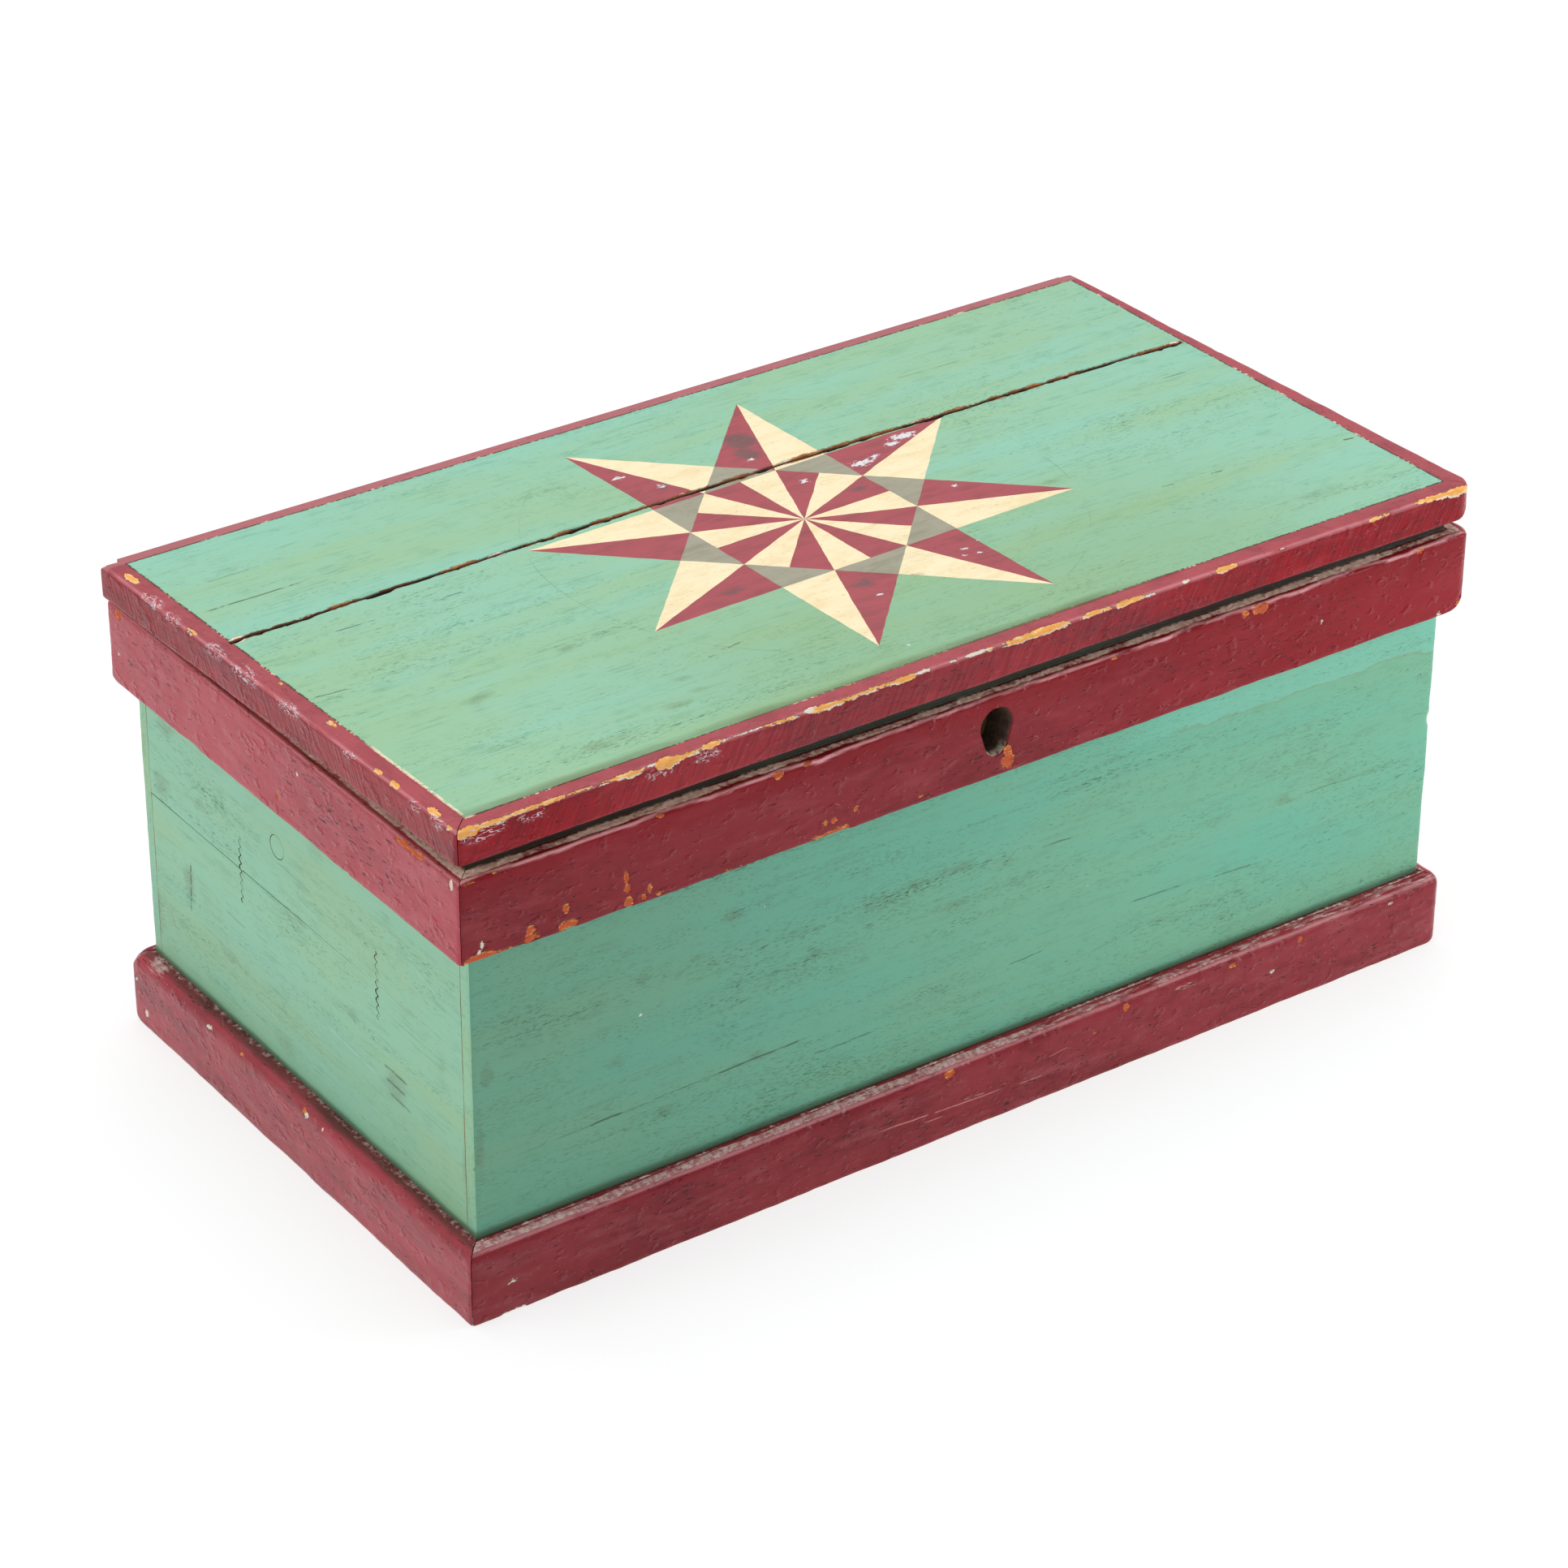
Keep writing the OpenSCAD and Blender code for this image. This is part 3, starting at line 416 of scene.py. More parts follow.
def plinth_front_marks(along, down):
    """Rubbed and dusty upper edge, most of it left of the middle."""
    rub = soft_step(-down, 0.0, 1.8) * soft_step(-down, 7.0, 5.0)
    share = 0.6 + 0.26 * soft_step(along, 60, 0)
    spots = [(112, 6, 14, 5, 0.7)]
    return {"scuff": np.maximum(rub * share, spots_field(along, down, spots))}


def plinth_left_marks(along, down):
    """Brown dirt with painted shade over the round edge, specks of dust by the wall, and a dull knot at the
    back end.
    """
    dull = [(123, -3, 14, 12, 0.95)]
    # Dirt and painted shade, strongest over the round edge and towards the wall
    dirt = np.maximum(soft_step(-down, -4.0, 5.0) * 0.68, 0.36)
    return {"grime_and_shade": dirt, "scuff": spots_field(along - MIDDLE_Y, down, dull), "edge": np.zeros_like(along),
            "dust": soft_step(-down, 1.0, 7.5) * 0.4}


def trim_marks(spec, seed, along, out, up, chips, extra):
    """Wear of a moulding with its painted highlight and painted shade, from chips about its upper outer edge
    to dust on its ledge.
    """
    down = spec["top"] - up - (spec["depth"] - out)
    primer = chip_field(along, down, chips["primer"], seed)
    if spec is LID_TRIM:
        below = chip_field(along, down - 0.9, chips["wood"], seed)
        primer = np.maximum(primer, below + 0.7 * layered_noise(edge_line(along, seed), 9.0, seed + 3) - 0.5)
    marks = {
        "wood": chip_field(along, down, chips["wood"], seed) + NO_CHIP,
        "primer": primer + NO_CHIP,
        # The edge mark: rubbed paint and a painted highlight along the upper outer edge
        "edge": soft_step(np.abs(down + spec["arris"]), 1.5, 0.3) * soft_step(out, 1.0, 3.0) * 0.45,
    }
    if "dust" in spec:
        dusty = soft_step(spec["top"] - up, 1.6, 0.2) * soft_step(-down, *spec["dust"])
        ledge = np.stack([along, out * 1.5, np.full_like(along, seed)], axis=-1)
        patch = np.clip(0.9 + 0.7 * layered_noise(ledge, 22.0, seed + 7), 0.56, 1.0)
        by_wall = soft_step(out, 0.4, 2.0)
        marks["dust"] = dusty * spec["dust_share"] * patch * (0.4 + 0.6 * by_wall)
        # Dirt and painted shade where the ledge meets the wall, under the lid's overhang
        marks["grime_and_shade"] = (1 - by_wall) * soft_step(spec["top"] - up, 1.6, 0.2) * 0.8
    if extra:
        marks.update(extra(along, down))
    return marks


# Pieces

LID_BOW = 0.9
SHARP_ANGLE = math.radians(40)


def bowed(points):
    """Lid points raised a little towards the middle of its front, where the old boards have bowed."""
    along = np.maximum(1 - (points[:, 0] / PANEL_X) ** 2, 0)
    rise = LID_BOW * along * soft_step(points[:, 1], WALL_BACK, WALL_FRONT)
    return points + rise[:, None] * np.array([0, 0, 1])


def finish_piece(name, mesh, body, materials, wear, grain, pick=None, shut=False):
    """Gives a mesh in millimetres its attributes and materials, and seats it in place of its node."""
    points = mesh_points(mesh)
    order = {"x": (0, 1, 2), "y": (1, 0, 2)}[grain]
    for label, values in (("flat", points), ("grain", points[:, order])):
        layer = mesh.attributes.new(label, "FLOAT_VECTOR", "POINT")
        layer.data.foreach_set("vector", values.astype(np.float32).ravel())
    for label, values in wear(points).items():
        layer = mesh.attributes.new(label, "FLOAT", "POINT")
        layer.data.foreach_set("value", values.astype(np.float32))
    mesh.materials.clear()
    for material in materials:
        mesh.materials.append(material)
    count = len(mesh.polygons)
    centres = np.empty(count * 3, np.float32)
    normals = np.empty(count * 3, np.float32)
    mesh.polygons.foreach_get("center", centres)
    mesh.polygons.foreach_get("normal", normals)
    index = np.zeros(count, np.int32)
    if pick:
        index[:] = pick(centres.reshape(-1, 3), normals.reshape(-1, 3))
    mesh.polygons.foreach_set("material_index", index)
    mesh.polygons.foreach_set("use_smooth", np.ones(count, bool))
    mesh.set_sharp_from_angle(angle=SHARP_ANGLE)
    placed = swing(bowed(points), AJAR) if shut else points
    mesh.vertices.foreach_set("co", (placed * MM).astype(np.float32).ravel())
    mesh.update()
    piece = bpy.data.objects.new(f"{name}_look", mesh)
    bpy.context.scene.collection.objects.link(piece)
    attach(piece, body)
    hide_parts(name)


SIDE_SEEDS = {"front": 1, "back": 2, "left": 3, "right": 4}


def side_axes(side, spec):
    """The axis along a side, the axis out of it, where its face lies and which way is out."""
    if side in ("front", "back"):
        return 0, 1, spec[side], -1 if side == "front" else 1
    sign = -1 if side == "left" else 1
    return 1, 0, sign * spec["half_x"], sign


def on_side(side, spec, along, out, up):
    """Places (along, out, up) on one side of the box."""
    along_axis, out_axis, face, sign = side_axes(side, spec)
    points = np.stack([along, along, up], axis=-1)
    points[..., along_axis] = along
    points[..., out_axis] = face + sign * out
    return points


def off_side(side, spec, points):
    """The reverse of on_side for finished points."""
    along_axis, out_axis, face, sign = side_axes(side, spec)
    return points[:, along_axis], sign * (points[:, out_axis] - face), points[:, 2]


def side_ends(side, spec, out):
    """Where a moulding starts and stops along its side, at each distance out of it."""
    if side in ("front", "back"):
        start = -(spec["half_x"] + out - MITRE_GAP)
        return start, -start
    start = spec["front"] - out + MITRE_GAP
    if "ends" in spec:
        return start, np.full(len(out), spec["ends"][side])
    return start, spec["back"] + out - MITRE_GAP


def moulding(side, spec, chips, extra):
    """A mitred strip round one side: (stations, around, 3) points, chipped and lumpy."""
    depth = spec["depth"]
    top = spec["top"]
    spacing = 1.0
    profile = outline([
        (0, spec["low"], 0, 2.0), (depth, spec["low"], spec["low_round"], 1.0),
        (depth, top, spec["top_round"], 0.9), (0, top, 0, 6.0),
    ])
    out = profile[:, 0]
    up = profile[:, 1]
    start, stop = side_ends(side, spec, out)
    count = round((stop.max() - start.min()) / spacing)
    share = np.linspace(0, 1, count)[:, None]
    along = start * (1 - share) + stop * share
    out = np.broadcast_to(out, along.shape)
    up = np.broadcast_to(up, along.shape)
    points = on_side(side, spec, along, out, up)
    normals = tube_normals(points)
    seed = spec["seed"] + SIDE_SEEDS[side]
    marks = trim_marks(spec, seed, along, out, up, chips, extra)
    chipped = np.maximum(marks["wood"], marks["primer"]) - NO_CHIP
    lumps = 0.2 * layered_noise(points, 24.0, seed + 31) + 0.07 * layered_noise(points, 5.0, seed + 37)
    lumps -= 0.3 * marks["edge"] * soft_step(layered_noise(points, 16.0, seed + 41), 0.1, 0.8)
    lumps -= 0.4 * soft_step(chipped, -0.2, 0.5)
    whole = soft_step(np.minimum(share, 1 - share) * count * spacing, 0.0, 2.0)
    points = points + normals * (soft_step(out, 0.2, 1.5) * whole * lumps)[..., None]
    ceiling = top if spec is BAND else top + 1
    points[..., 2] = np.clip(points[..., 2], spec["low"], ceiling)
    return points


def plan_corner(spec, x_sign, y_sign):
    """The outer corner's x and y limits."""
    y_limit = spec["front"] - spec["depth"] if y_sign < 0 else spec["back"] + spec["depth"]
    return x_sign * (spec["half_x"] + spec["depth"]), y_limit


def rounded_pair(points, axis_a, limit_a, sign_a, axis_b, limit_b, sign_b, radius):
    """Rounds one outer corner in the plane of two axes, in place."""
    a = sign_a * (points[:, axis_a] - limit_a) + radius
    b = sign_b * (points[:, axis_b] - limit_b) + radius
    inside = (a > 0) & (b > 0)
    scale = np.where(inside, np.maximum(a, b) / np.maximum(np.hypot(a, b), 1e-9), 1.0)
    points[:, axis_a] = limit_a + sign_a * (np.where(inside, a * scale, a) - radius)
    points[:, axis_b] = limit_b + sign_b * (np.where(inside, b * scale, b) - radius)


def worn_corners(points, spec):
    """Trim points with the upright corners rounded in plan, and corners worn off above or below."""
    points = points.copy()
    for x_sign, y_sign, radius in spec["plan_rounds"]:
        x_limit, y_limit = plan_corner(spec, x_sign, y_sign)
        rounded_pair(points, 0, x_limit, x_sign, 1, y_limit, y_sign, radius)
    for x_sign, y_sign, edge, reach, height in spec["worn"]:
        x_limit, y_limit = plan_corner(spec, x_sign, y_sign)
        far = np.maximum(x_sign * (x_limit - points[:, 0]), y_sign * (y_limit - points[:, 1]))
        close = np.clip(1 - np.abs(points[:, 2] - spec[edge]) / (2 * height), 0, 1)
        lift = height * np.clip(1 - far / reach, 0, 1) ** 2 * close
        points[:, 2] += lift if edge == "low" else -lift
    return points


BAND = {
    "name": "band_{}", "body": "box", "seed": 100,
    "depth": TRIM, "low": BAND_LOW, "top": BAND_TOP, "low_round": 1.0, "top_round": 1.5,
    "half_x": WALL_X, "front": WALL_FRONT, "back": WALL_BACK,
    "dust": (2.2, 4.6), "dust_share": 1.0, "arris": 0.7,
    "plan_rounds": [(-1, -1, 2.5), (1, -1, 6), (-1, 1, 4), (1, 1, 4)],
    "worn": [(1, -1, "low", 11, 6), (-1, 1, "low", 7, 4), (1, -1, "top", 8, 1.5), (1, 1, "low", 6, 2)],
}
PLINTH = {
    **BAND, "name": "plinth_{}", "seed": 200, "low": 0.0, "top": PLINTH_TOP, "top_round": 6.5,
    "dust": (5.0, 6.8), "dust_share": 0.62, "arris": 0.0,
    "worn": [(-1, 1, "top", 9, 6), (-1, 1, "low", 7, 5), (1, -1, "low", 8, 2.5), (1, -1, "top", 7, 1.5),
             (1, 1, "top", 6, 3)],
}
LID_TRIM = {
    "name": "lid_{}_strip", "body": "lid", "seed": 300,
    "depth": STRIP, "low": STRIP_LOW, "top": LID_TOP, "low_round": 1.0, "top_round": 2.2,
    "half_x": PANEL_X, "front": PANEL_FRONT, "back": LID_BACK, "ends": STRIP_BACK, "arris": 0.0,
    "plan_rounds": [(-1, -1, 2.5), (1, -1, 9)], "worn": [(1, -1, "low", 9, 4), (1, -1, "top", 8, 1.5)],
}
STRIP_END_ROUND = 4.0


def moulding_piece(spec, side, chips, paint, extra=None, cutters=(), lining=()):
    """Builds, cuts and finishes one moulding; extra adds marks, and a lining is for its keyhole."""
    name = spec["name"].format(side)
    materials = [paint, pine, *lining]
    mesh = tube_mesh(name, moulding(side, spec, chips, extra))
    if cutters:
        mesh = cut(mesh, cutters)
    points = worn_corners(mesh_points(mesh), spec)
    if side in spec.get("ends", {}):
        rounded_pair(points, 1, spec["ends"][side], 1, 2, spec["top"], 1, STRIP_END_ROUND)
    mesh.vertices.foreach_set("co", points.astype(np.float32).ravel())
    seed = spec["seed"] + SIDE_SEEDS[side]

    def wear(points):
        along, out, up = off_side(side, spec, points)
        return trim_marks(spec, seed, along, out, up, chips, extra)

    def pick(centres, normals):
        out = off_side(side, spec, centres)[1]
        hidden = (normals[:, 2] < -0.7) | (out < 0.05)
        return np.where(in_keyhole(centres, normals), 2, hidden) if lining else hidden

    grain = "x" if side in ("front", "back") else "y"
    finish_piece(name, mesh, spec["body"], materials, wear, grain, pick, spec is LID_TRIM)


# Shaders

def feed(tree, slot, item):
    """Puts a value, a colour or a node's output into a socket."""
    if isinstance(item, Value):
        tree.links.new(item.socket, slot)
    elif isinstance(item, (int, float)):
        slot.default_value = item
    elif isinstance(item, (tuple, list)):
        slot.default_value = tuple(item) + (1.0,) if len(slot.default_value) > len(item) else tuple(item)
    else:
        tree.links.new(item, slot)


def add_node(tree, kind, *inputs, **settings):
    """A shader node of a kind, with its settings made and its first inputs fed."""
    node = tree.nodes.new(f"ShaderNode{kind}")
    for word, setting in settings.items():
        setattr(node, word, setting)
    for slot, item in zip(node.inputs, inputs):
        feed(tree, slot, item)
    return node


class Value:
    """A number in a shader, with plain arithmetic."""

    def __init__(self, tree, socket):
        self.tree = tree
        self.socket = socket

    def math(self, operation, *others):
        return Value(self.tree, add_node(self.tree, "Math", self, *others, operation=operation).outputs[0])

    def __add__(self, other):
        return self.math("ADD", other)

    def __sub__(self, other):
        return self.math("SUBTRACT", other)

    def __mul__(self, other):
        return self.math("MULTIPLY", other)

    def __truediv__(self, other):
        return self.math("DIVIDE", other)

    def least(self, other):
        return self.math("MINIMUM", other)

    def most(self, other):
        return self.math("MAXIMUM", other)

    def size(self):
        return self.math("ABSOLUTE")

    def flip(self):
        """1 less this value."""
        return self * -1.0 + 1.0

    def ramp(self, low, high):
        """0 at low, 1 at high, smooth between; low may be the larger."""
        ends = (high, low, 1.0, 0.0) if low > high else (low, high, 0.0, 1.0)
        node = add_node(self.tree, "MapRange", self, *ends, interpolation_type="SMOOTHSTEP")
        return Value(self.tree, node.outputs["Result"])


class Finish:
    """One procedural material, built from short calls."""

    def __init__(self, name):
        self.material = bpy.data.materials.new(name)
        self.material.use_nodes = True
        self.tree = self.material.node_tree
        self.shader = self.tree.nodes["Principled BSDF"]

    def number(self, name):
        """A number kept on the mesh."""
        return Value(self.tree, add_node(self.tree, "Attribute", attribute_name=name).outputs["Fac"])

    def place(self, name):
        """A place kept on the mesh."""
        return add_node(self.tree, "Attribute", attribute_name=name).outputs["Vector"]

    def object_place(self):
        """Where a point lies on the object, in millimetres."""
        return self.stretch(add_node(self.tree, "TexCoord").outputs["Object"], (1 / MM, 1 / MM, 1 / MM))

    def axes(self, place):
        """The three numbers of a place."""
        return [Value(self.tree, socket) for socket in add_node(self.tree, "SeparateXYZ", place).outputs]

    def stretch(self, place, factors):
        """A place with each axis multiplied."""
        return add_node(self.tree, "VectorMath", place, factors, operation="MULTIPLY").outputs[0]

    def vector(self, x, y, z):
        """A place made of three numbers."""
        return add_node(self.tree, "CombineXYZ", x, y, z).outputs[0]

    def noise(self, place, scales, detail=2.0, rough=0.5, bend=0.0):
        """Noise from 0 to 1; the scales are per millimetre, and the last one also serves the axes left."""
        whole = (scales + scales[-1:] * 2)[:3]
        node = add_node(self.tree, "TexNoise", self.stretch(place, whole))
        for word, item in (("Scale", 1.0), ("Detail", detail), ("Roughness", rough), ("Distortion", bend)):
            node.inputs[word].default_value = item
        return Value(self.tree, node.outputs["Fac"])

    def mix(self, share, first, second):
        """The first colour with a share of the second over it."""
        node = add_node(self.tree, "Mix", share, data_type="RGBA")
        feed(self.tree, node.inputs[6], first)
        feed(self.tree, node.inputs[7], second)
        return node.outputs[2]

    def bump(self, height, depth):
        """A bump whose height of 1 stands for the given depth in millimetres."""
        node = add_node(self.tree, "Bump")
        node.inputs["Strength"].default_value = 1.0
        node.inputs["Distance"].default_value = depth * MM
        feed(self.tree, node.inputs["Height"], height)
        return node.outputs[0]

    def set(self, colour, roughness, normal=None, **plain):
        """Sets the shader's inputs and gives the material."""
        feed(self.tree, self.shader.inputs["Base Color"], colour)
        feed(self.tree, self.shader.inputs["Roughness"], roughness)
        if normal is not None:
            self.tree.links.new(normal, self.shader.inputs["Normal"])
        for name, item in plain.items():
            self.shader.inputs[name.replace("_", " ")].default_value = item
        return self.material


class Coat:
    """Paint in a finish: a colour, a roughness and a height that later layers change."""

    def __init__(self, finish, colour):
        self.finish = finish
        self.colour = colour
        self.roughness = 0.5
        self.height = 0.0

    def over(self, share, colour):
        """Lays a colour over a share of the coat."""
        self.colour = self.finish.mix(share, self.colour, colour)

    def material(self, depth, gloss):
        """The material, with a bump of the given depth in millimetres."""
        bump = self.finish.bump(self.height, depth)
        return self.finish.set(self.colour, self.roughness, bump, Specular_IOR_Level=gloss)


# Colours of what lies under and over the paints, in pairs where they vary
PRIMER = (0.74, 0.66, 0.56)
LINT = (0.68, 0.66, 0.7)
# Painted shade round the rims of chips
CHIP_RIM_SHADE = (0.11, 0.03, 0.02)
# Pink of rubbed paint and of a painted highlight on the trims' upper edges
RUB_AND_HIGHLIGHT = (0.8, 0.38, 0.41)
FLECK = (0.72, 0.76, 0.78)
LID_TIMBER = ((0.9, 0.6, 0.28), (0.8, 0.38, 0.1))
CRACK_TIMBER = ((0.46, 0.2, 0.07), (0.25, 0.1, 0.035))
SIDE_TIMBER = ((0.78, 0.34, 0.1), (0.52, 0.1, 0.04))
# Dust, paler than it is, as painted light on the band's ledge in the lid's shade
LIT_DUST = ((0.66, 0.46, 0.4), (0.95, 0.76, 0.68))
SCUFF = ((0.4, 0.17, 0.17), (0.62, 0.47, 0.44))

# Red paints, each fresh, then pink where it is rubbed, then dark
RED_DARK = (0.14, 0.008, 0.013)
RED_FRONT = ((0.27, 0.022, 0.031), (0.35, 0.058, 0.072), RED_DARK)
RED_PLINTH = ((0.285, 0.03, 0.04), (0.35, 0.08, 0.093), RED_DARK)
# Red of the ends' trims, a lit copy of the front's red: paler and pinker as painted light and reflection
RED_SIDE_LIT = ((0.43, 0.06, 0.08), (0.48, 0.13, 0.155), (0.32, 0.046, 0.06))
RED_LID = ((0.3, 0.003, 0.01), (0.36, 0.03, 0.042), RED_DARK)
RED_LID_TOP = ((0.4, 0.085, 0.1), (0.31, 0.065, 0.08))
RED_LID_BACK = (0.46, 0.2, 0.21)
RED_LID_RUBBED = (0.5, 0.24, 0.27)
# A vivid red laid as painted light on the band's right, and a deeper red laid as painted shade near its top
RED_PAINTED_LIGHT = (0.29, 0.004, 0.011)
RED_REFLECTED_SHADE = (0.23, 0.002, 0.008)
RED_PIT = (0.045, 0.005, 0.008)
RED_DOT = (0.62, 0.34, 0.32)
RED_SCRATCH = (0.6, 0.24, 0.22)
# Dirt and painted shade on the reds
RED_SOIL_AND_SHADE = (0.06, 0.03, 0.022)

# Green paints, each cool, then warm, and their dirt
GREEN_FRONT = ((0.126, 0.468, 0.333), (0.168, 0.452, 0.284))
GREEN_BACK = ((0.155, 0.545, 0.39), (0.205, 0.53, 0.335))
GREEN_END = ((0.23, 0.525, 0.355), (0.27, 0.5, 0.28))
GREEN_LID = ((0.265, 0.53, 0.402), (0.292, 0.5, 0.31))
GREEN_LID_WARM = (0.24, 0.37, 0.16)
GREEN_LAP = (0.19, 0.62, 0.51)
GREEN_LAP_EDGE = (0.2, 0.27, 0.13)
GREEN_DEEP = (0.11, 0.3, 0.18)
# Dirt and painted shade on the greens
GREEN_GRIME_AND_SHADE = (0.055, 0.12, 0.07)
GREEN_PIT = (0.035, 0.07, 0.04)
GREEN_STAIN = (0.13, 0.17, 0.07)
GREEN_SOIL = (0.1, 0.085, 0.04)
GREEN_SCRATCH = (0.5, 0.62, 0.5)
LID_SOIL = (0.13, 0.16, 0.07)
# Near-black painted shade for the wall's rim in the gap under the lid
RIM_SHADE = (0.03, 0.02, 0.015)
BORDER_LINE = (0.06, 0.028, 0.015)
BORDER_CREAM = (0.8, 0.7, 0.5)


def chips_and_dust(coat, place, timber, soil, ragged):
    """Lays dirt and painted shade, rubbed edges with a painted highlight, chips with painted shade round them,
    scuffs, dust and lint over a coat.
    """
    finish = coat.finish
    smear = finish.noise(place, (0.03, 0.15), 3.0)
    crumb = finish.noise(place, (1.5, 2.2), 3.0, 0.7) - 0.5
    speck = (finish.noise(place, (0.55, 0.9), 5.0, 0.75) - 0.5 + crumb * 0.3) * ragged
    scrape = finish.noise(place, (0.09, 0.8), 5.0, 0.75)
    fluff = finish.noise(place, (0.4,), 4.0, 0.7)
    # Dirt and painted shade where the grime mark asks, in the soil colour
    dirt = (finish.number("grime_and_shade") * 1.3 + (smear - 0.5) * 0.7 - 0.2).ramp(0.0, 0.9)
    coat.over(dirt * 0.85, soil)
    # Rubbed paint and a painted highlight along the trims' upper edges
    coat.over(finish.number("edge") * (smear * 0.6 + scrape * 0.4).ramp(0.34, 0.5), RUB_AND_HIGHLIGHT)
    primer_in = finish.number("primer") - NO_CHIP + speck
    wood_in = finish.number("wood") - NO_CHIP + speck
    primer = primer_in.ramp(-0.06, 0.08)
    wood = wood_in.ramp(-0.06, 0.08)
    tone = (finish.noise(place, (0.2, 0.9), 3.0) + wood_in * 0.12).ramp(0.4, 0.62)
    # Painted shade in a ring round each chip, where the paint's edge steps down
    coat.over(primer_in.most(wood_in).ramp(-0.6, -0.05) * 0.5, CHIP_RIM_SHADE)
    coat.over(primer, PRIMER)
    coat.over(wood, finish.mix(tone, *timber))
    scuff = (finish.number("scuff") * 1.2 + (scrape - 0.5) * 2.6 - 0.6).ramp(0.0, 0.35)
    coat.over(scuff * 0.85, finish.mix(fluff.ramp(0.38, 0.62), *SCUFF))
    dust = (finish.number("dust") * 1.5 + (fluff - 0.5) * 1.2 - 0.5).ramp(0.0, 0.6)
    coat.over(dust, finish.mix(fluff.ramp(0.36, 0.64), *LIT_DUST))
    strand = (finish.noise(place, (0.16, 0.5), 2.0, 0.5, 1.2) - 0.5).size().ramp(0.036, 0.01)
    lint = strand * (finish.number("lint") + fluff - 0.75).ramp(0.0, 0.3)
    coat.over(lint * 0.85, LINT)
    covered = wood.most(primer).most(dust).most(scuff * 0.7).most(lint)
    coat.roughness = coat.roughness + covered * (coat.roughness * -1.0 + 0.9)
    coat.height = coat.height - wood.most(primer) * 0.6 + dust * (fluff - 0.3) * 0.8


def hairline(u, v, start, stop, width):
    """A mask of a thin line between two points."""
    long = math.hypot(stop[0] - start[0], stop[1] - start[1])
    way_u = (stop[0] - start[0]) / long
    way_v = (stop[1] - start[1]) / long
    ahead = (u - start[0]) * way_u + (v - start[1]) * way_v
    aside = (u - start[0]) * way_v - (v - start[1]) * way_u
    ends = (ahead - long / 2).size().ramp(long / 2, long / 2 * 0.7)
    return aside.size().ramp(width, width * 0.35) * ends


def hairlines(finish, place, u, v, lines):
    """One mask for several hairlines, a little wavy and broken."""
    wave = (finish.noise(place, (0.05,), 3.0) - 0.5) * 1.6
    broken = finish.noise(place, (0.12, 0.4), 3.0, 0.6).ramp(0.36, 0.5)
    mask = None
    for start, stop, width, strength in lines:
        line = hairline(u, v + wave, start, stop, width) * strength
        mask = line if mask is None else mask.most(line)
    return mask * broken


def red_coat(finish, grain, vivid, pink, dark):
    """The thick, glossy, lumpy red paint."""
    cloud = finish.noise(grain, (0.012, 0.03), 3.0)
    mottle = finish.noise(grain, (0.1, 0.22), 4.0, 0.65)
    streak = finish.noise(grain, (0.05, 0.5), 3.0, 0.6)
    rub = finish.noise(grain, (0.03, 0.12), 4.0, 0.65)
    ripple = finish.noise(grain, (0.04, 0.1))
    blister = finish.noise(grain, (0.13, 0.2)).ramp(0.56, 0.72)
    pits = (finish.noise(grain, (0.2, 0.9), 3.0, 0.6) + (cloud - 0.5) * 0.25).ramp(0.64, 0.7)
    dots = finish.noise(grain, (0.9, 1.1)).ramp(0.715, 0.76)
    coat = Coat(finish, vivid)
    coat.over((cloud * 0.6 + mottle * 0.4).ramp(0.4, 0.64) * 0.7, dark)
    coat.over(rub.ramp(0.5, 0.74) * 0.6, pink)
    coat.over(pits * 0.85, RED_PIT)
    coat.over(dots * 0.5, RED_DOT)
    coat.roughness = streak * 0.14 + 0.12 + rub.ramp(0.45, 0.8) * 0.2
    coat.height = streak * 0.5 + rub * 0.4 + ripple * 2.4 + blister * 1.9 - pits * 1.2
    return coat


def red_material(name, reds, left_shade=0.0, vivid=0.0, lines=()):
    """Red trim paint; film darkens its left as painted shade, fresh brightens its right as painted light and
    deepens the red near its top as painted shade, and the lines are scratches.
    """
    finish = Finish(name)
    grain = finish.place("grain")
    along, up = finish.axes(grain)[::2]
    coat = red_coat(finish, grain, *reds)
    # Painted shade darkening the left of the face
    coat.over(along.ramp(180, -250) * left_shade, RED_DARK)
    # Painted light brightening the right, then a deeper red near the top as painted shade where the face
    # mirrors the lid's dark underside
    coat.over(along.ramp(-40, 200) * vivid, RED_PAINTED_LIGHT)
    coat.over(up.ramp(BAND_TOP - 16, BAND_TOP - 2) * vivid, RED_REFLECTED_SHADE)
    if lines:
        coat.over(hairlines(finish, grain, along, up, lines) * 0.7, RED_SCRATCH)
    chips_and_dust(coat, grain, SIDE_TIMBER, RED_SOIL_AND_SHADE, 6.0)
    return coat.material(0.26, 0.17)


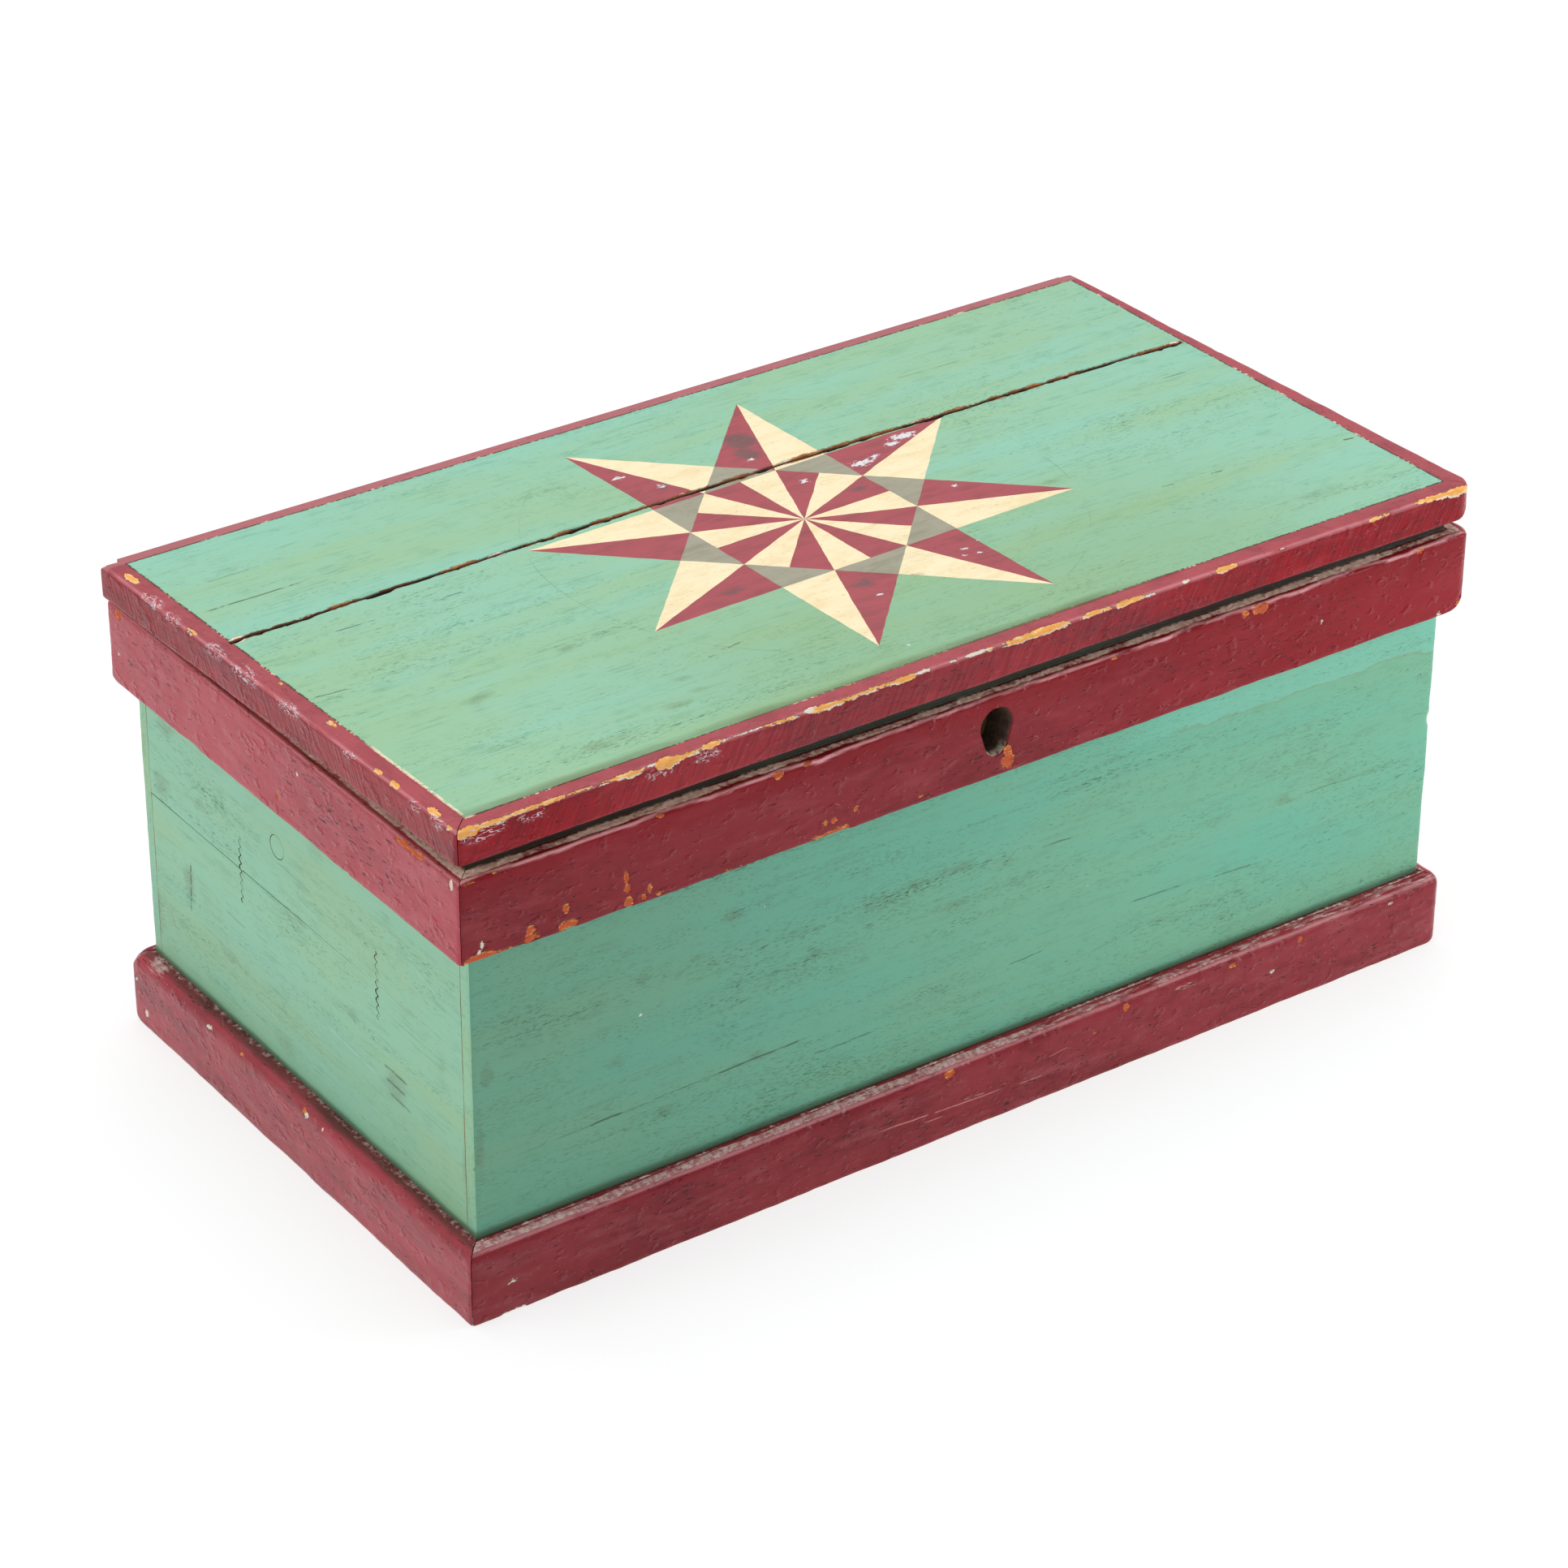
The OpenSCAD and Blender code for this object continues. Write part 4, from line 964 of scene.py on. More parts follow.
def green_coat(finish, grain, cool, warm, porous):
    """The thin green paint over open-pored pine, dirtier where it is stained."""
    stain = finish.number("stain")
    cloud = finish.noise(grain, (0.006, 0.016), 3.0, 0.55)
    band = finish.noise(grain, (0.002, 0.07))
    streak = finish.noise(grain, (0.03, 0.7), 3.0, 0.65)
    mottle = finish.noise(grain, (0.09, 0.16), 4.0, 0.6)
    rows = finish.noise(grain, (0.004, 0.16), 3.0, 0.6)
    patch = finish.noise(grain, (0.012, 0.03), 3.0, 0.6)
    dash = finish.noise(grain, (0.38, 2.1)) + stain * 0.1 + porous
    grit = finish.noise(grain, (0.5, 0.7), 3.0, 0.6)
    pores = (dash + (rows - 0.5) * 0.4 + (patch - 0.5) * 0.4).ramp(0.6, 0.72)
    deep = (dash + (rows - 0.5) * 0.55 + (patch - 0.5) * 0.45).ramp(0.765, 0.83)
    soil = (grit + (patch - 0.5) * 0.3 + stain * 0.1).ramp(0.73, 0.79)
    coat = Coat(finish, cool)
    coat.over((cloud + (band - 0.5) * 0.5).ramp(0.3, 0.72), warm)
    coat.over((streak * 0.5 + mottle * 0.5).ramp(0.48, 0.7) * 0.42, GREEN_DEEP)
    coat.over((stain * 1.6 + (mottle - 0.5) * 2.0 - 0.3).ramp(0.0, 1.0) * 0.3, GREEN_STAIN)
    coat.over(pores * 0.6, GREEN_DEEP)
    coat.over(deep * 0.85, GREEN_PIT)
    coat.over(soil * 0.7, GREEN_SOIL)
    coat.roughness = streak * 0.2 + 0.34
    coat.height = streak * 0.5 + cloud * 0.3 + mottle * 0.3 - pores * 0.5 - deep * 0.7
    return coat


def add_flecks(coat, place):
    """White flecks where the wear asks for them."""
    flake = coat.finish.noise(place, (0.35, 0.6), 5.0, 0.75)
    fleck = (coat.finish.number("fleck") * 1.4 + (flake - 0.5) * 3.0 - 0.8).ramp(0.0, 0.1)
    coat.over(fleck * 0.9, FLECK)


LAP_Z = 158.5


def add_lap(coat, grain, along, up):
    """A second coat with a ragged lower edge, under the band's right part."""
    ragged = (coat.finish.noise(grain, (0.03, 0.06), 4.0, 0.6) - 0.5) * 16.0
    over = up + ragged + along * 0.02 - LAP_Z
    lapped = over.ramp(-0.3, 0.4) * along.ramp(60, 120)
    coat.over(lapped * 0.36, GREEN_LAP)
    coat.over(over.size().ramp(0.9, 0.2) * along.ramp(90, 130) * 0.4, GREEN_LAP_EDGE)
    coat.height = coat.height + lapped * 0.6


def green_material(name, greens, porous, left_shade, foot, dark_lines=(), pale_lines=(), lap=False):
    """Green wall paint; film darkens its left as painted shade and foot its lower part, and a near-black
    painted shade lies on the rim above the band; the lines are splits and scratches.
    """
    finish = Finish(name)
    grain = finish.place("grain")
    along, up = finish.axes(grain)[::2]
    coat = green_coat(finish, grain, *greens, porous)
    # Painted shade darkening the left of the wall
    coat.over(along.ramp(170, -260) * left_shade, GREEN_GRIME_AND_SHADE)
    coat.over(up.ramp(110, 45) * foot, GREEN_DEEP)
    if lap:
        add_lap(coat, grain, along, up)
    # Near-black painted shade on the rim just above the band, a little lighter in the middle where green shows
    greener = (along + 20).size().ramp(120, 80) * 0.07
    coat.over(up.ramp(BAND_TOP - 0.6, BAND_TOP + 0.4) * greener.flip(), RIM_SHADE)
    add_flecks(coat, grain)
    if dark_lines:
        split = hairlines(finish, grain, along, up, dark_lines)
        coat.over(split * 0.8, GREEN_PIT)
        coat.height = coat.height - split
    if pale_lines:
        coat.over(hairlines(finish, grain, along, up, pale_lines) * 0.5, GREEN_SCRATCH)
    chips_and_dust(coat, grain, SIDE_TIMBER, GREEN_GRIME_AND_SHADE, 6.0)
    return coat.material(0.16, 0.5)


# The star on the lid: its middle, reach and the direction of one tip
STAR_X = 4.0
STAR_Y = MIDDLE_Y + 0.9
STAR_R = 121.2
LONG_TIP = math.radians(112.7)
LONG_TIP_SHARE = 0.012
STAR_STRETCH = 1.02
STAR_TURN = math.radians(68.6)
STAR_RED = ((0.38, 0.085, 0.1), (0.28, 0.075, 0.085))
STAR_CREAM = ((0.86, 0.75, 0.5), (0.8, 0.64, 0.38))
STAR_GREY = ((0.345, 0.325, 0.25), (0.28, 0.265, 0.2))
STAR_DULL = (0.13, 0.1, 0.105)
STAR_WORN = (0.12, 0.1, 0.06)
EIGHTH = math.pi / 4
SCRIBED_R = 122.5


def star_masks(x, y):
    """Masks of the star's red, cream and grey fields at a place on the lid."""
    reach = (x * x + y * y).math("SQRT")
    along_tip = (x * math.cos(LONG_TIP) + y * math.sin(LONG_TIP)) / reach.most(1.0)
    far = reach * (along_tip.ramp(0.93, 1.0) * reach.ramp(50, STAR_R) * -LONG_TIP_SHARE + 1.0)
    turns = (y.math("ARCTAN2", x) - STAR_TURN) / EIGHTH
    offset = turns - turns.math("ROUND")
    bend = offset.size() * EIGHTH
    toward = far * bend.math("COSINE")
    aside = far * bend.math("SINE")
    half = EIGHTH / 2
    star = ((toward * -1.0 + STAR_R) * math.tan(half) - aside).ramp(-0.12, 0.12)
    heart_r = STAR_R * (math.sqrt(2) - 1)
    edge = heart_r * math.cos(half)
    heart = (toward * math.cos(half) + aside * math.sin(half)).ramp(edge + 0.12, edge - 0.12)
    kite = ((toward - heart_r) * math.cos(half) - aside * math.sin(half)).ramp(-0.12, 0.12)
    first = (offset * far).ramp(-0.15, 0.15)
    red = heart * first.flip() + heart.flip() * kite * first
    cream = heart * first + heart.flip() * kite * first.flip()
    grey = heart.flip() * kite.flip()
    return star * red, star * cream, star * grey


def paint_star(coat, flat):
    """The painted star, and the circle it was set out with."""
    finish = coat.finish
    x, y = finish.axes(flat)[:2]
    wobble = finish.noise(flat, (0.12,), 3.0) - 0.5
    wobble_b = finish.noise(flat, (0.1, 0.13, 0.1), 3.0) - 0.5
    off_x = x - STAR_X + wobble * 0.9
    off_y = (y - STAR_Y + wobble_b * 0.9) / STAR_STRETCH
    faint = finish.noise(flat, (0.03,), 3.0).ramp(0.45, 0.6)
    ring = ((off_x * off_x + off_y * off_y).math("SQRT") - SCRIBED_R).size().ramp(0.5, 0.15)
    coat.over(ring * faint * 0.2, GREEN_PIT)
    age = finish.noise(flat, (0.06, 0.2), 4.0, 0.6)
    smudge = finish.number("stain")
    wear = (finish.noise(flat, (0.3, 1.2), 3.0, 0.6) + smudge * 0.16).ramp(0.62, 0.72)
    blot = finish.noise(flat, (0.25, 0.35), 4.0, 0.65)
    dull = (smudge * 1.8 + (blot - 0.5) * 2.2 - 0.4).ramp(0.0, 0.7)
    for mask, tones in zip(star_masks(off_x, off_y), (STAR_RED, STAR_CREAM, STAR_GREY)):
        field = Coat(finish, finish.mix(age.ramp(0.38, 0.78), *tones))
        field.over(dull * 0.6, STAR_DULL)
        field.over(wear * 0.4, STAR_WORN)
        coat.over(mask, field.colour)


# The edges of the lid's green field, and how far two of them slant
BORDER_LEFT = -253.4
BORDER_RIGHT = 254.6
BORDER_RIGHT_SLANT = 0.019
BORDER_BACK = MIDDLE_Y + 137.4
BORDER_FRONT = MIDDLE_Y - 133.9
BORDER_FRONT_SLANT = 0.0037
# Checks in the lid's paint at x and y from the middle: start, stop, width, strength
LID_CHECKS = [
    ((-251.7, 77.9), (-198.7, 78.1), 0.55, 1.0), ((-215, 30.2), (-194, 29.4), 0.5, 0.9),
    ((-161, 30.1), (-152, 29.9), 0.5, 0.8), ((-251.4, -14.7), (-234.6, -16.6), 0.5, 0.8),
    ((243.9, -75.2), (250, -76.4), 0.7, 1.0), ((174, -67.6), (181, -68.2), 0.6, 0.9),
    ((148, -65.6), (155, -66.4), 0.5, 0.7), ((-103, -81.2), (-97, -80.6), 0.6, 0.8),
    ((-92, -79.1), (-84, -77.6), 0.5, 0.7), ((205, 24), (236, 22.6), 0.45, 0.6),
    ((-236, 102), (-212, 101.4), 0.45, 0.6), ((120, 96), (158, 94.6), 0.4, 0.5),
]
# Stains and flecks on the lid: middle, half widths and strength
LID_STAINS = [
    (112.6, -32.5, 7, 4, 1.0), (-122, -90, 9, 4, 0.9), (-122, -101.5, 8, 4, 0.9), (-135.7, -107, 10, 5, 1.0),
    (-197, -55, 12, 6, 0.8), (-144, -39.5, 9, 5, 0.8), (27, 83, 10, 11, 1.5), (22, 70, 8, 9, 1.2),
    (41.1, 11.3, 7, 4, 1.0), (-27, 65, 8, 6, 0.6), (-60, -38, 10, 5, 0.7), (-12, -64, 9, 7, 0.8),
    (10, -72, 8, 6, 0.6), (200, -110, 30, 8, 0.6), (-60, -122, 60, 6, 0.6), (-180, -118, 50, 8, 0.7),
]
LID_FLECKS = [
    (88.6, 44, 14, 5.5, 1.0), (80, 40, 9, 5, 0.9), (57.7, 31.8, 12, 5.5, 1.0), (66, 34, 8, 4, 0.85),
    (25.8, 32, 6, 4, 0.85), (19.4, 64, 4, 3, 0.9), (-38, 83, 8, 4, 0.9), (-27, 65, 8, 5, 0.7),
    (76.8, -10.9, 4.5, 3, 0.85), (45, -69.8, 4, 3, 0.85), (38.6, -68, 3.4, 2.6, 0.8), (52, -60, 4, 2.6, 0.7),
    (-12.4, -76.8, 4, 3, 0.8), (-1, -120.9, 2, 1.6, 1.0), (-29.9, -120.5, 2, 1.6, 1.0), (42, -63, 5, 3, 0.8),
]


def lid_border(finish, flat):
    """Millimetres inside the ragged edge of the lid's green field."""
    x, y = finish.axes(flat)[:2]
    ragged = (finish.noise(flat, (0.35,), 4.0, 0.7) - 0.5) * 1.2
    front = y - x * BORDER_FRONT_SLANT - BORDER_FRONT
    right = y * BORDER_RIGHT_SLANT - x + BORDER_RIGHT
    inside = (x - BORDER_LEFT).least(right).least(front).least(y * -1.0 + BORDER_BACK)
    return inside + ragged


def lid_green(finish, grain, flat):
    """The lid's green field with its star, flecks and checks."""
    x, y = finish.axes(flat)[:2]
    coat = green_coat(finish, grain, *GREEN_LID, -0.05)
    warm = y.ramp(MIDDLE_Y + 20, MIDDLE_Y - 130) * x.ramp(250, 110) * x.ramp(-200, -60)
    coat.over(warm * 0.5, GREEN_LID_WARM)
    paint_star(coat, flat)
    add_flecks(coat, grain)
    checks = hairlines(finish, flat, x, y - MIDDLE_Y, LID_CHECKS)
    coat.over(checks * 0.8, GREEN_PIT)
    coat.height = coat.height - checks
    return coat


def lid_red(finish, grain, flat, top):
    """The red of the lid's border and strips, with saw marks below and paler where top is 1."""
    along, across, up = finish.axes(grain)
    y = finish.axes(flat)[1]
    coat = red_coat(finish, grain, *RED_LID)
    worn = finish.noise(flat, (0.06,), 4.0, 0.6).ramp(0.38, 0.7)
    back = y.ramp(BORDER_BACK - 1, BORDER_BACK + 1)
    pale = finish.mix(back * 0.6, finish.mix(worn, *RED_LID_TOP), RED_LID_BACK)
    coat.over(along.ramp(170, 20) * along.ramp(-240, -140) * 0.09, RED_LID_RUBBED)
    coat.over(top * 0.85, pale)
    saw = finish.noise(finish.vector(along - up * 0.5, up * 0.1, across * 0.1), (0.5,))
    coat.over(saw.ramp(0.48, 0.66) * top.flip() * 0.36, RED_DARK)
    coat.height = coat.height + saw * top.flip() * 2.0
    return coat


def lid_material(name):
    """Green lid with its star, red border and the ragged dark line between them."""
    finish = Finish(name)
    grain = finish.place("grain")
    flat = finish.place("flat")
    x, y, z = finish.axes(flat)
    top = z.ramp(LID_TOP - 2.4, LID_TOP - 1.4)
    coat = lid_green(finish, grain, flat)
    red = lid_red(finish, grain, flat, top)
    inside = lid_border(finish, flat)
    green = inside.ramp(-0.1, 0.15) * top
    dotted = finish.noise(flat, (0.5,), 3.0, 0.6)
    sparse = finish.noise(flat, (0.06,), 3.0)
    line = (inside - 0.1).size().ramp(0.7, 0.2) * (dotted * 0.6 + sparse * 0.4).ramp(0.42, 0.5)
    cream = (inside + 0.2).size().ramp(0.6, 0.25) * (dotted * 0.5 + sparse * 0.5).ramp(0.42, 0.36)
    left_front = x.ramp(-248, -251) * y.ramp(MIDDLE_Y - 55, MIDDLE_Y - 70)
    cream = cream.most((inside - 0.3).size().ramp(0.9, 0.5) * left_front * dotted.ramp(0.36, 0.46))
    coat.colour = finish.mix(green, red.colour, coat.colour)
    coat.over(line * top * 0.85, BORDER_LINE)
    coat.over(cream * top * 0.9, BORDER_CREAM)
    coat.roughness = green * coat.roughness + green.flip() * red.roughness
    coat.height = green * coat.height + green.flip() * red.height
    by_crack = (y - CRACK_MIDDLE).size().ramp(8, 6)
    timber = [finish.mix(by_crack, edge, old) for edge, old in zip(LID_TIMBER, CRACK_TIMBER)]
    chips_and_dust(coat, grain, timber, LID_SOIL, 3.8)
    return coat.material(0.18, 0.16)


PINE = ((0.62, 0.42, 0.22), (0.42, 0.25, 0.11))
PINE_STAIN = (0.16, 0.095, 0.045)
# Wood in holes, the crack and the joints' gaps, near black as painted shade
SHADED_HOLE_WOOD = ((0.04, 0.021, 0.013), (0.1, 0.052, 0.028))
HOLE_DUST = (0.36, 0.29, 0.21)
CRACK_LIP = (0.34, 0.15, 0.055)
# Metals, each light, then tarnished, then rusty
IRON = ((0.17, 0.16, 0.15), (0.07, 0.062, 0.055), (0.17, 0.065, 0.025))
BRASS = ((0.5, 0.36, 0.13), (0.25, 0.17, 0.07), (0.1, 0.075, 0.035))


def pine_material(name):
    """Old bare pine with growth rings and stains."""
    finish = Finish(name)
    grain = finish.place("grain")
    light, dark = PINE
    ring = finish.noise(grain, (0.0035, 0.16), 2.0, 0.5, 0.6)
    line = finish.noise(grain, (0.01, 1.3), 3.0, 0.6)
    stain = finish.noise(grain, (0.01, 0.02), 3.0)
    coat = Coat(finish, light)
    coat.over((ring * 2.2 - 0.6).ramp(0.2, 0.8), dark)
    coat.over(line.ramp(0.5, 0.75) * 0.5, dark)
    coat.over(stain.ramp(0.5, 0.75) * 0.5, PINE_STAIN)
    return finish.set(coat.colour, line * 0.15 + 0.72, finish.bump(line + ring * 0.5, 0.12))


def hole_material(name):
    """Dark old wood inside the keyhole and the crack, near black as painted shade, paler where light dust lies
    at the keyhole's foot.
    """
    finish = Finish(name)
    flat = finish.place("flat")
    y, z = finish.axes(flat)[1:]
    grit = finish.noise(flat, (0.5,), 3.0, 0.6)
    coat = Coat(finish, finish.mix(grit.ramp(0.35, 0.7), *SHADED_HOLE_WOOD))
    coat.over(z.ramp(LID_TOP - 1.4, LID_TOP - 0.3) * 0.7, CRACK_LIP)
    foot = z.ramp(KEYHOLE_Z - 9, KEYHOLE_Z - 12) * y.ramp(WALL_FRONT - 3.5, WALL_FRONT - 6)
    coat.over(foot * grit.ramp(0.3, 0.55), HOLE_DUST)
    return finish.set(coat.colour, 0.85, finish.bump(grit, 0.2))


def metal_material(name, light, dark, rust):
    """Dull old metal with tarnish and rust."""
    finish = Finish(name)
    place = finish.object_place()
    patch = finish.noise(place, (0.14,), 4.0, 0.6)
    grit = finish.noise(place, (1.1,), 4.0, 0.7)
    scale = (patch * 0.6 + grit * 0.4).ramp(0.5, 0.62)
    coat = Coat(finish, light)
    coat.over(patch.ramp(0.35, 0.65), dark)
    coat.over(scale, rust)
    roughness = scale * 0.35 + 0.38 + grit * 0.1
    return finish.set(coat.colour, roughness, finish.bump(grit * 0.6 + patch, 0.08), Metallic=0.85)


# Splits in the front's paint at x and z, marks on the left end at y and z, scratches on the plinth
FRONT_SPLITS = [
    ((-241, 69.5), (-88, 72.8), 0.4, 0.45), ((-200, 70.4), (-181, 70.8), 0.6, 1.0),
    ((-140, 71.6), (-88, 72.8), 0.6, 1.0), ((82, 78.6), (114, 77.2), 0.5, 0.8),
    ((31.6, 124.1), (53.6, 123.5), 0.5, 0.8), ((-87, 63), (-53, 62.6), 0.5, 0.7),
    ((16, 70.3), (42.6, 71.1), 0.5, 0.7), ((124, 75.7), (161, 73.3), 0.5, 0.7),
    ((180, 101), (216, 99.8), 0.4, 0.5),
]
LEFT_SPLITS = [
    ((94.5, 103), (97, 74), 0.8, 1.0), ((-64, 84), (-84, 83), 0.8, 0.8),
    ((-66, 78), (-82, 77), 0.8, 0.8), ((-68, 72), (-86, 71), 0.7, 0.7),
    ((20, 140), (-12, 139), 0.4, 0.5), ((70, 92), (44, 91.4), 0.4, 0.5),
]
LEFT_SCRATCHES = [
    ((-16.6, 78), (-62, 75), 0.5, 0.9), ((-92, 144), (-110, 140), 0.5, 0.9),
    ((-60, 120.5), (-131, 120.5), 0.5, 0.7), ((40, 60), (22, 56), 0.4, 0.6),
]
PLINTH_SCRATCHES = [
    ((-62.6, 17), (11.6, 13.7), 0.5, 1.0), ((-34, 12.4), (-22, 11.8), 0.5, 0.8),
    ((-12, 16.2), (0, 15.6), 0.5, 0.8), ((18, 13), (32, 12.6), 0.5, 0.8),
    ((34, 20.8), (46, 22.4), 0.4, 0.6),
]


def toward_middle(lines):
    """Lines on an end, moved to where the carcass lies."""
    return [((start[0] + MIDDLE_Y, start[1]), (stop[0] + MIDDLE_Y, stop[1]), width, strength)
            for start, stop, width, strength in lines]


red_paint = red_material("red_paint_worn", RED_FRONT)
band_paint = red_material("red_paint_band", RED_FRONT, 0.3, 0.7)
plinth_paint = red_material("red_paint_scratched", RED_PLINTH, 0.35, 0.0, PLINTH_SCRATCHES)
# A lit copy of the red for the ends' trims, as painted light
red_side_lit_paint = red_material("red_paint_side_lit", RED_SIDE_LIT)
lid_paint = lid_material("lid_paint")
front_green = green_material("front_green_paint", GREEN_FRONT, 0.01, 0.37, 0.15, FRONT_SPLITS, (), True)
back_green = green_material("back_green_paint", GREEN_BACK, 0.0, 0.0, 0.1)
left_green = green_material("left_green_paint", GREEN_END, -0.03, 0.0, 0.3, toward_middle(LEFT_SPLITS),
                            toward_middle(LEFT_SCRATCHES))
right_green = green_material("right_green_paint", GREEN_END, -0.03, 0.0, 0.2)
pine = pine_material("old_pine")
shaded_hole_wood = hole_material("shaded_dark_wood")
iron = metal_material("old_iron", *IRON)
brass = metal_material("old_brass", *BRASS)


# Trim pieces

def keyhole_ring(y, grow):
    """The keyhole's outline, a round hole with a narrower foot, grown all round at one depth."""
    ring = []
    steps = 28
    spread = math.acos((KEYHOLE_R - FOOT_R) / FOOT_DROP)
    top_turn = math.pi - spread
    for k in range(steps + 1):
        turn = math.pi / 2 + top_turn - 2 * top_turn * k / steps
        radius = KEYHOLE_R + grow
        ring.append((radius * math.cos(turn), y, KEYHOLE_Z + radius * math.sin(turn)))
    for k in range(steps // 2 + 1):
        turn = math.pi / 2 - top_turn - 2 * (math.pi - top_turn) * k / (steps // 2)
        radius = FOOT_R + grow
        ring.append((radius * math.cos(turn), y, KEYHOLE_Z - FOOT_DROP + radius * math.sin(turn)))
    return ring


def keyhole_cutter(levels):
    """The keyhole through a piece, at depths each with its own growth."""
    return loft([keyhole_ring(y, grow) for y, grow in levels])


def in_keyhole(centres, normals):
    """Faces inside the keyhole."""
    off_z = centres[:, 2] - KEYHOLE_Z + FOOT_DROP / 2
    near = (np.abs(centres[:, 0]) < KEYHOLE_R + 1) & (np.abs(off_z) < KEYHOLE_R + FOOT_DROP / 2 + 1)
    deep = centres[:, 1] > WALL_FRONT - TRIM + 0.7
    return near & deep & (np.abs(normals[:, 1]) < 0.75)


def barrel_cutters():
    """Room for the hinges' knuckles."""
    cutters = []
    for low, high in HINGE_BOXES:
        radius = (high[2] - low[2]) / 2 + FIT_GAP
        cutters.append(bar_x(round_points(HINGE_Y, HINGE_Z, radius), low[0] - FIT_GAP, high[0] + FIT_GAP))
    return cutters


# How far scattered chips reach along the long sides and the ends
LONG_SPAN = (-255, 255)
END_SPAN = (-135, 130)
BAND_FACE = WALL_FRONT - TRIM
BAND_KEYHOLE = [(BAND_FACE - 3, 1.5), (BAND_FACE - 0.4, 1.5), (BAND_FACE + 0.4, 0.7), (BAND_FACE + 1.2, 0.25),
                (BAND_FACE + 2.2, 0.0), (WALL_FRONT + 5, 0.0)]
moulding_piece(BAND, "front", BAND_FRONT_CHIPS, band_paint, band_front_marks, [keyhole_cutter(BAND_KEYHOLE)],
               [shaded_hole_wood])
moulding_piece(BAND, "left", BAND_LEFT_CHIPS, red_side_lit_paint)
moulding_piece(BAND, "back", scattered_chips(21, 14, LONG_SPAN, 3.5), red_paint, None, barrel_cutters())
moulding_piece(BAND, "right", scattered_chips(23, 10, END_SPAN, 3.5), red_side_lit_paint)
moulding_piece(PLINTH, "front", PLINTH_FRONT_CHIPS, plinth_paint, plinth_front_marks)
moulding_piece(PLINTH, "left", PLINTH_LEFT_CHIPS, red_side_lit_paint, plinth_left_marks)
moulding_piece(PLINTH, "back", scattered_chips(22, 14, LONG_SPAN, 4.0), red_paint)
moulding_piece(PLINTH, "right", scattered_chips(24, 10, END_SPAN, 4.0), red_side_lit_paint)
moulding_piece(LID_TRIM, "front", LID_FRONT_CHIPS, lid_paint, lid_front_marks)
moulding_piece(LID_TRIM, "left", LID_LEFT_CHIPS, lid_paint, lid_left_marks)
moulding_piece(LID_TRIM, "right", scattered_chips(25, 12, END_SPAN, 3.0), lid_paint)


# Walls

# Distances between the points of a wall's outline, and how many rows of points the boards have
FINE_STEP = 1.4
EDGE_STEP = 4.0
INNER_STEP = 8.0
WALL_ROWS = 146
END_ROWS = 186
BOTTOM_ROWS = 150
LID_ROWS = 424
WALL_ROUND = 1.2
JOINT_ROUND = 0.3
GRAIN_SHARE = 0.12
NOTCH_Z = 116.0
# Stains and flecks on the walls: middle, half widths and strength
FRONT_STAINS = [
    (-246.8, 113.4, 5, 8, 1.2), (-128, 147, 9, 5, 0.9), (-144.6, 132, 8, 4, 0.8), (-172, 132, 9, 5, 0.8),
    (-185, 96, 9, 5, 0.8), (-161, 63, 10, 5, 0.9), (-116, 74, 9, 4, 0.8), (-251, 80, 3, 26, 1.1),
    (-12, 129, 16, 5, 0.8), (-33, 128, 9, 4, 0.8), (-16, 112, 12, 5, 0.7), (14, 123, 10, 4, 0.7),
    (131, 104.5, 16, 5, 0.8), (169, 102, 12, 4, 0.8), (197, 103, 10, 4, 0.7), (-87, 112, 12, 4, 0.7),
]
FRONT_FLECKS = [(-111.5, 145.5, 2, 1.6, 1.0), (-172.7, 115, 2, 1.6, 1.0), (60, 96, 1.6, 1.4, 1.0)]
LEFT_STAINS = [
    (97, 90, 8, 18, 1.2), (-74, 77, 14, 12, 1.1), (110, 160, 14, 8, 0.8), (20, 50, 24, 9, 0.8),
    (-110, 100, 14, 12, 0.7), (118, 128, 10, 14, 1.0), (84, 136, 14, 6, 0.8), (10, 118, 20, 6, 0.8),
    (-128, 70, 5, 26, 1.0), (-40, 96, 16, 6, 0.7), (60, 70, 18, 6, 0.8), (128, 60, 6, 20, 1.0),
]


def wall_wear(side, stains=(), flecks=()):
    """Makes the wear of a wall: dirt and painted shade over the plinth and under the band, stains and flecks.
    """
    def wear(points):
        z = points[:, 2]
        along = points[:, 0] if side in ("front", "back") else points[:, 1] - MIDDLE_Y
        # Dirt and painted shade just above the plinth and just under the band
        low = soft_step(z, PLINTH_TOP + 6, PLINTH_TOP + 0.3) * 0.85
        high = soft_step(z, BAND_LOW - 5, BAND_LOW) * 0.6
        return {"grime_and_shade": np.maximum(low, high * (z < BAND_LOW + 1)), "stain": spots_field(along, z, stains),
                "fleck": spots_field(along, z, flecks)}
    return wear


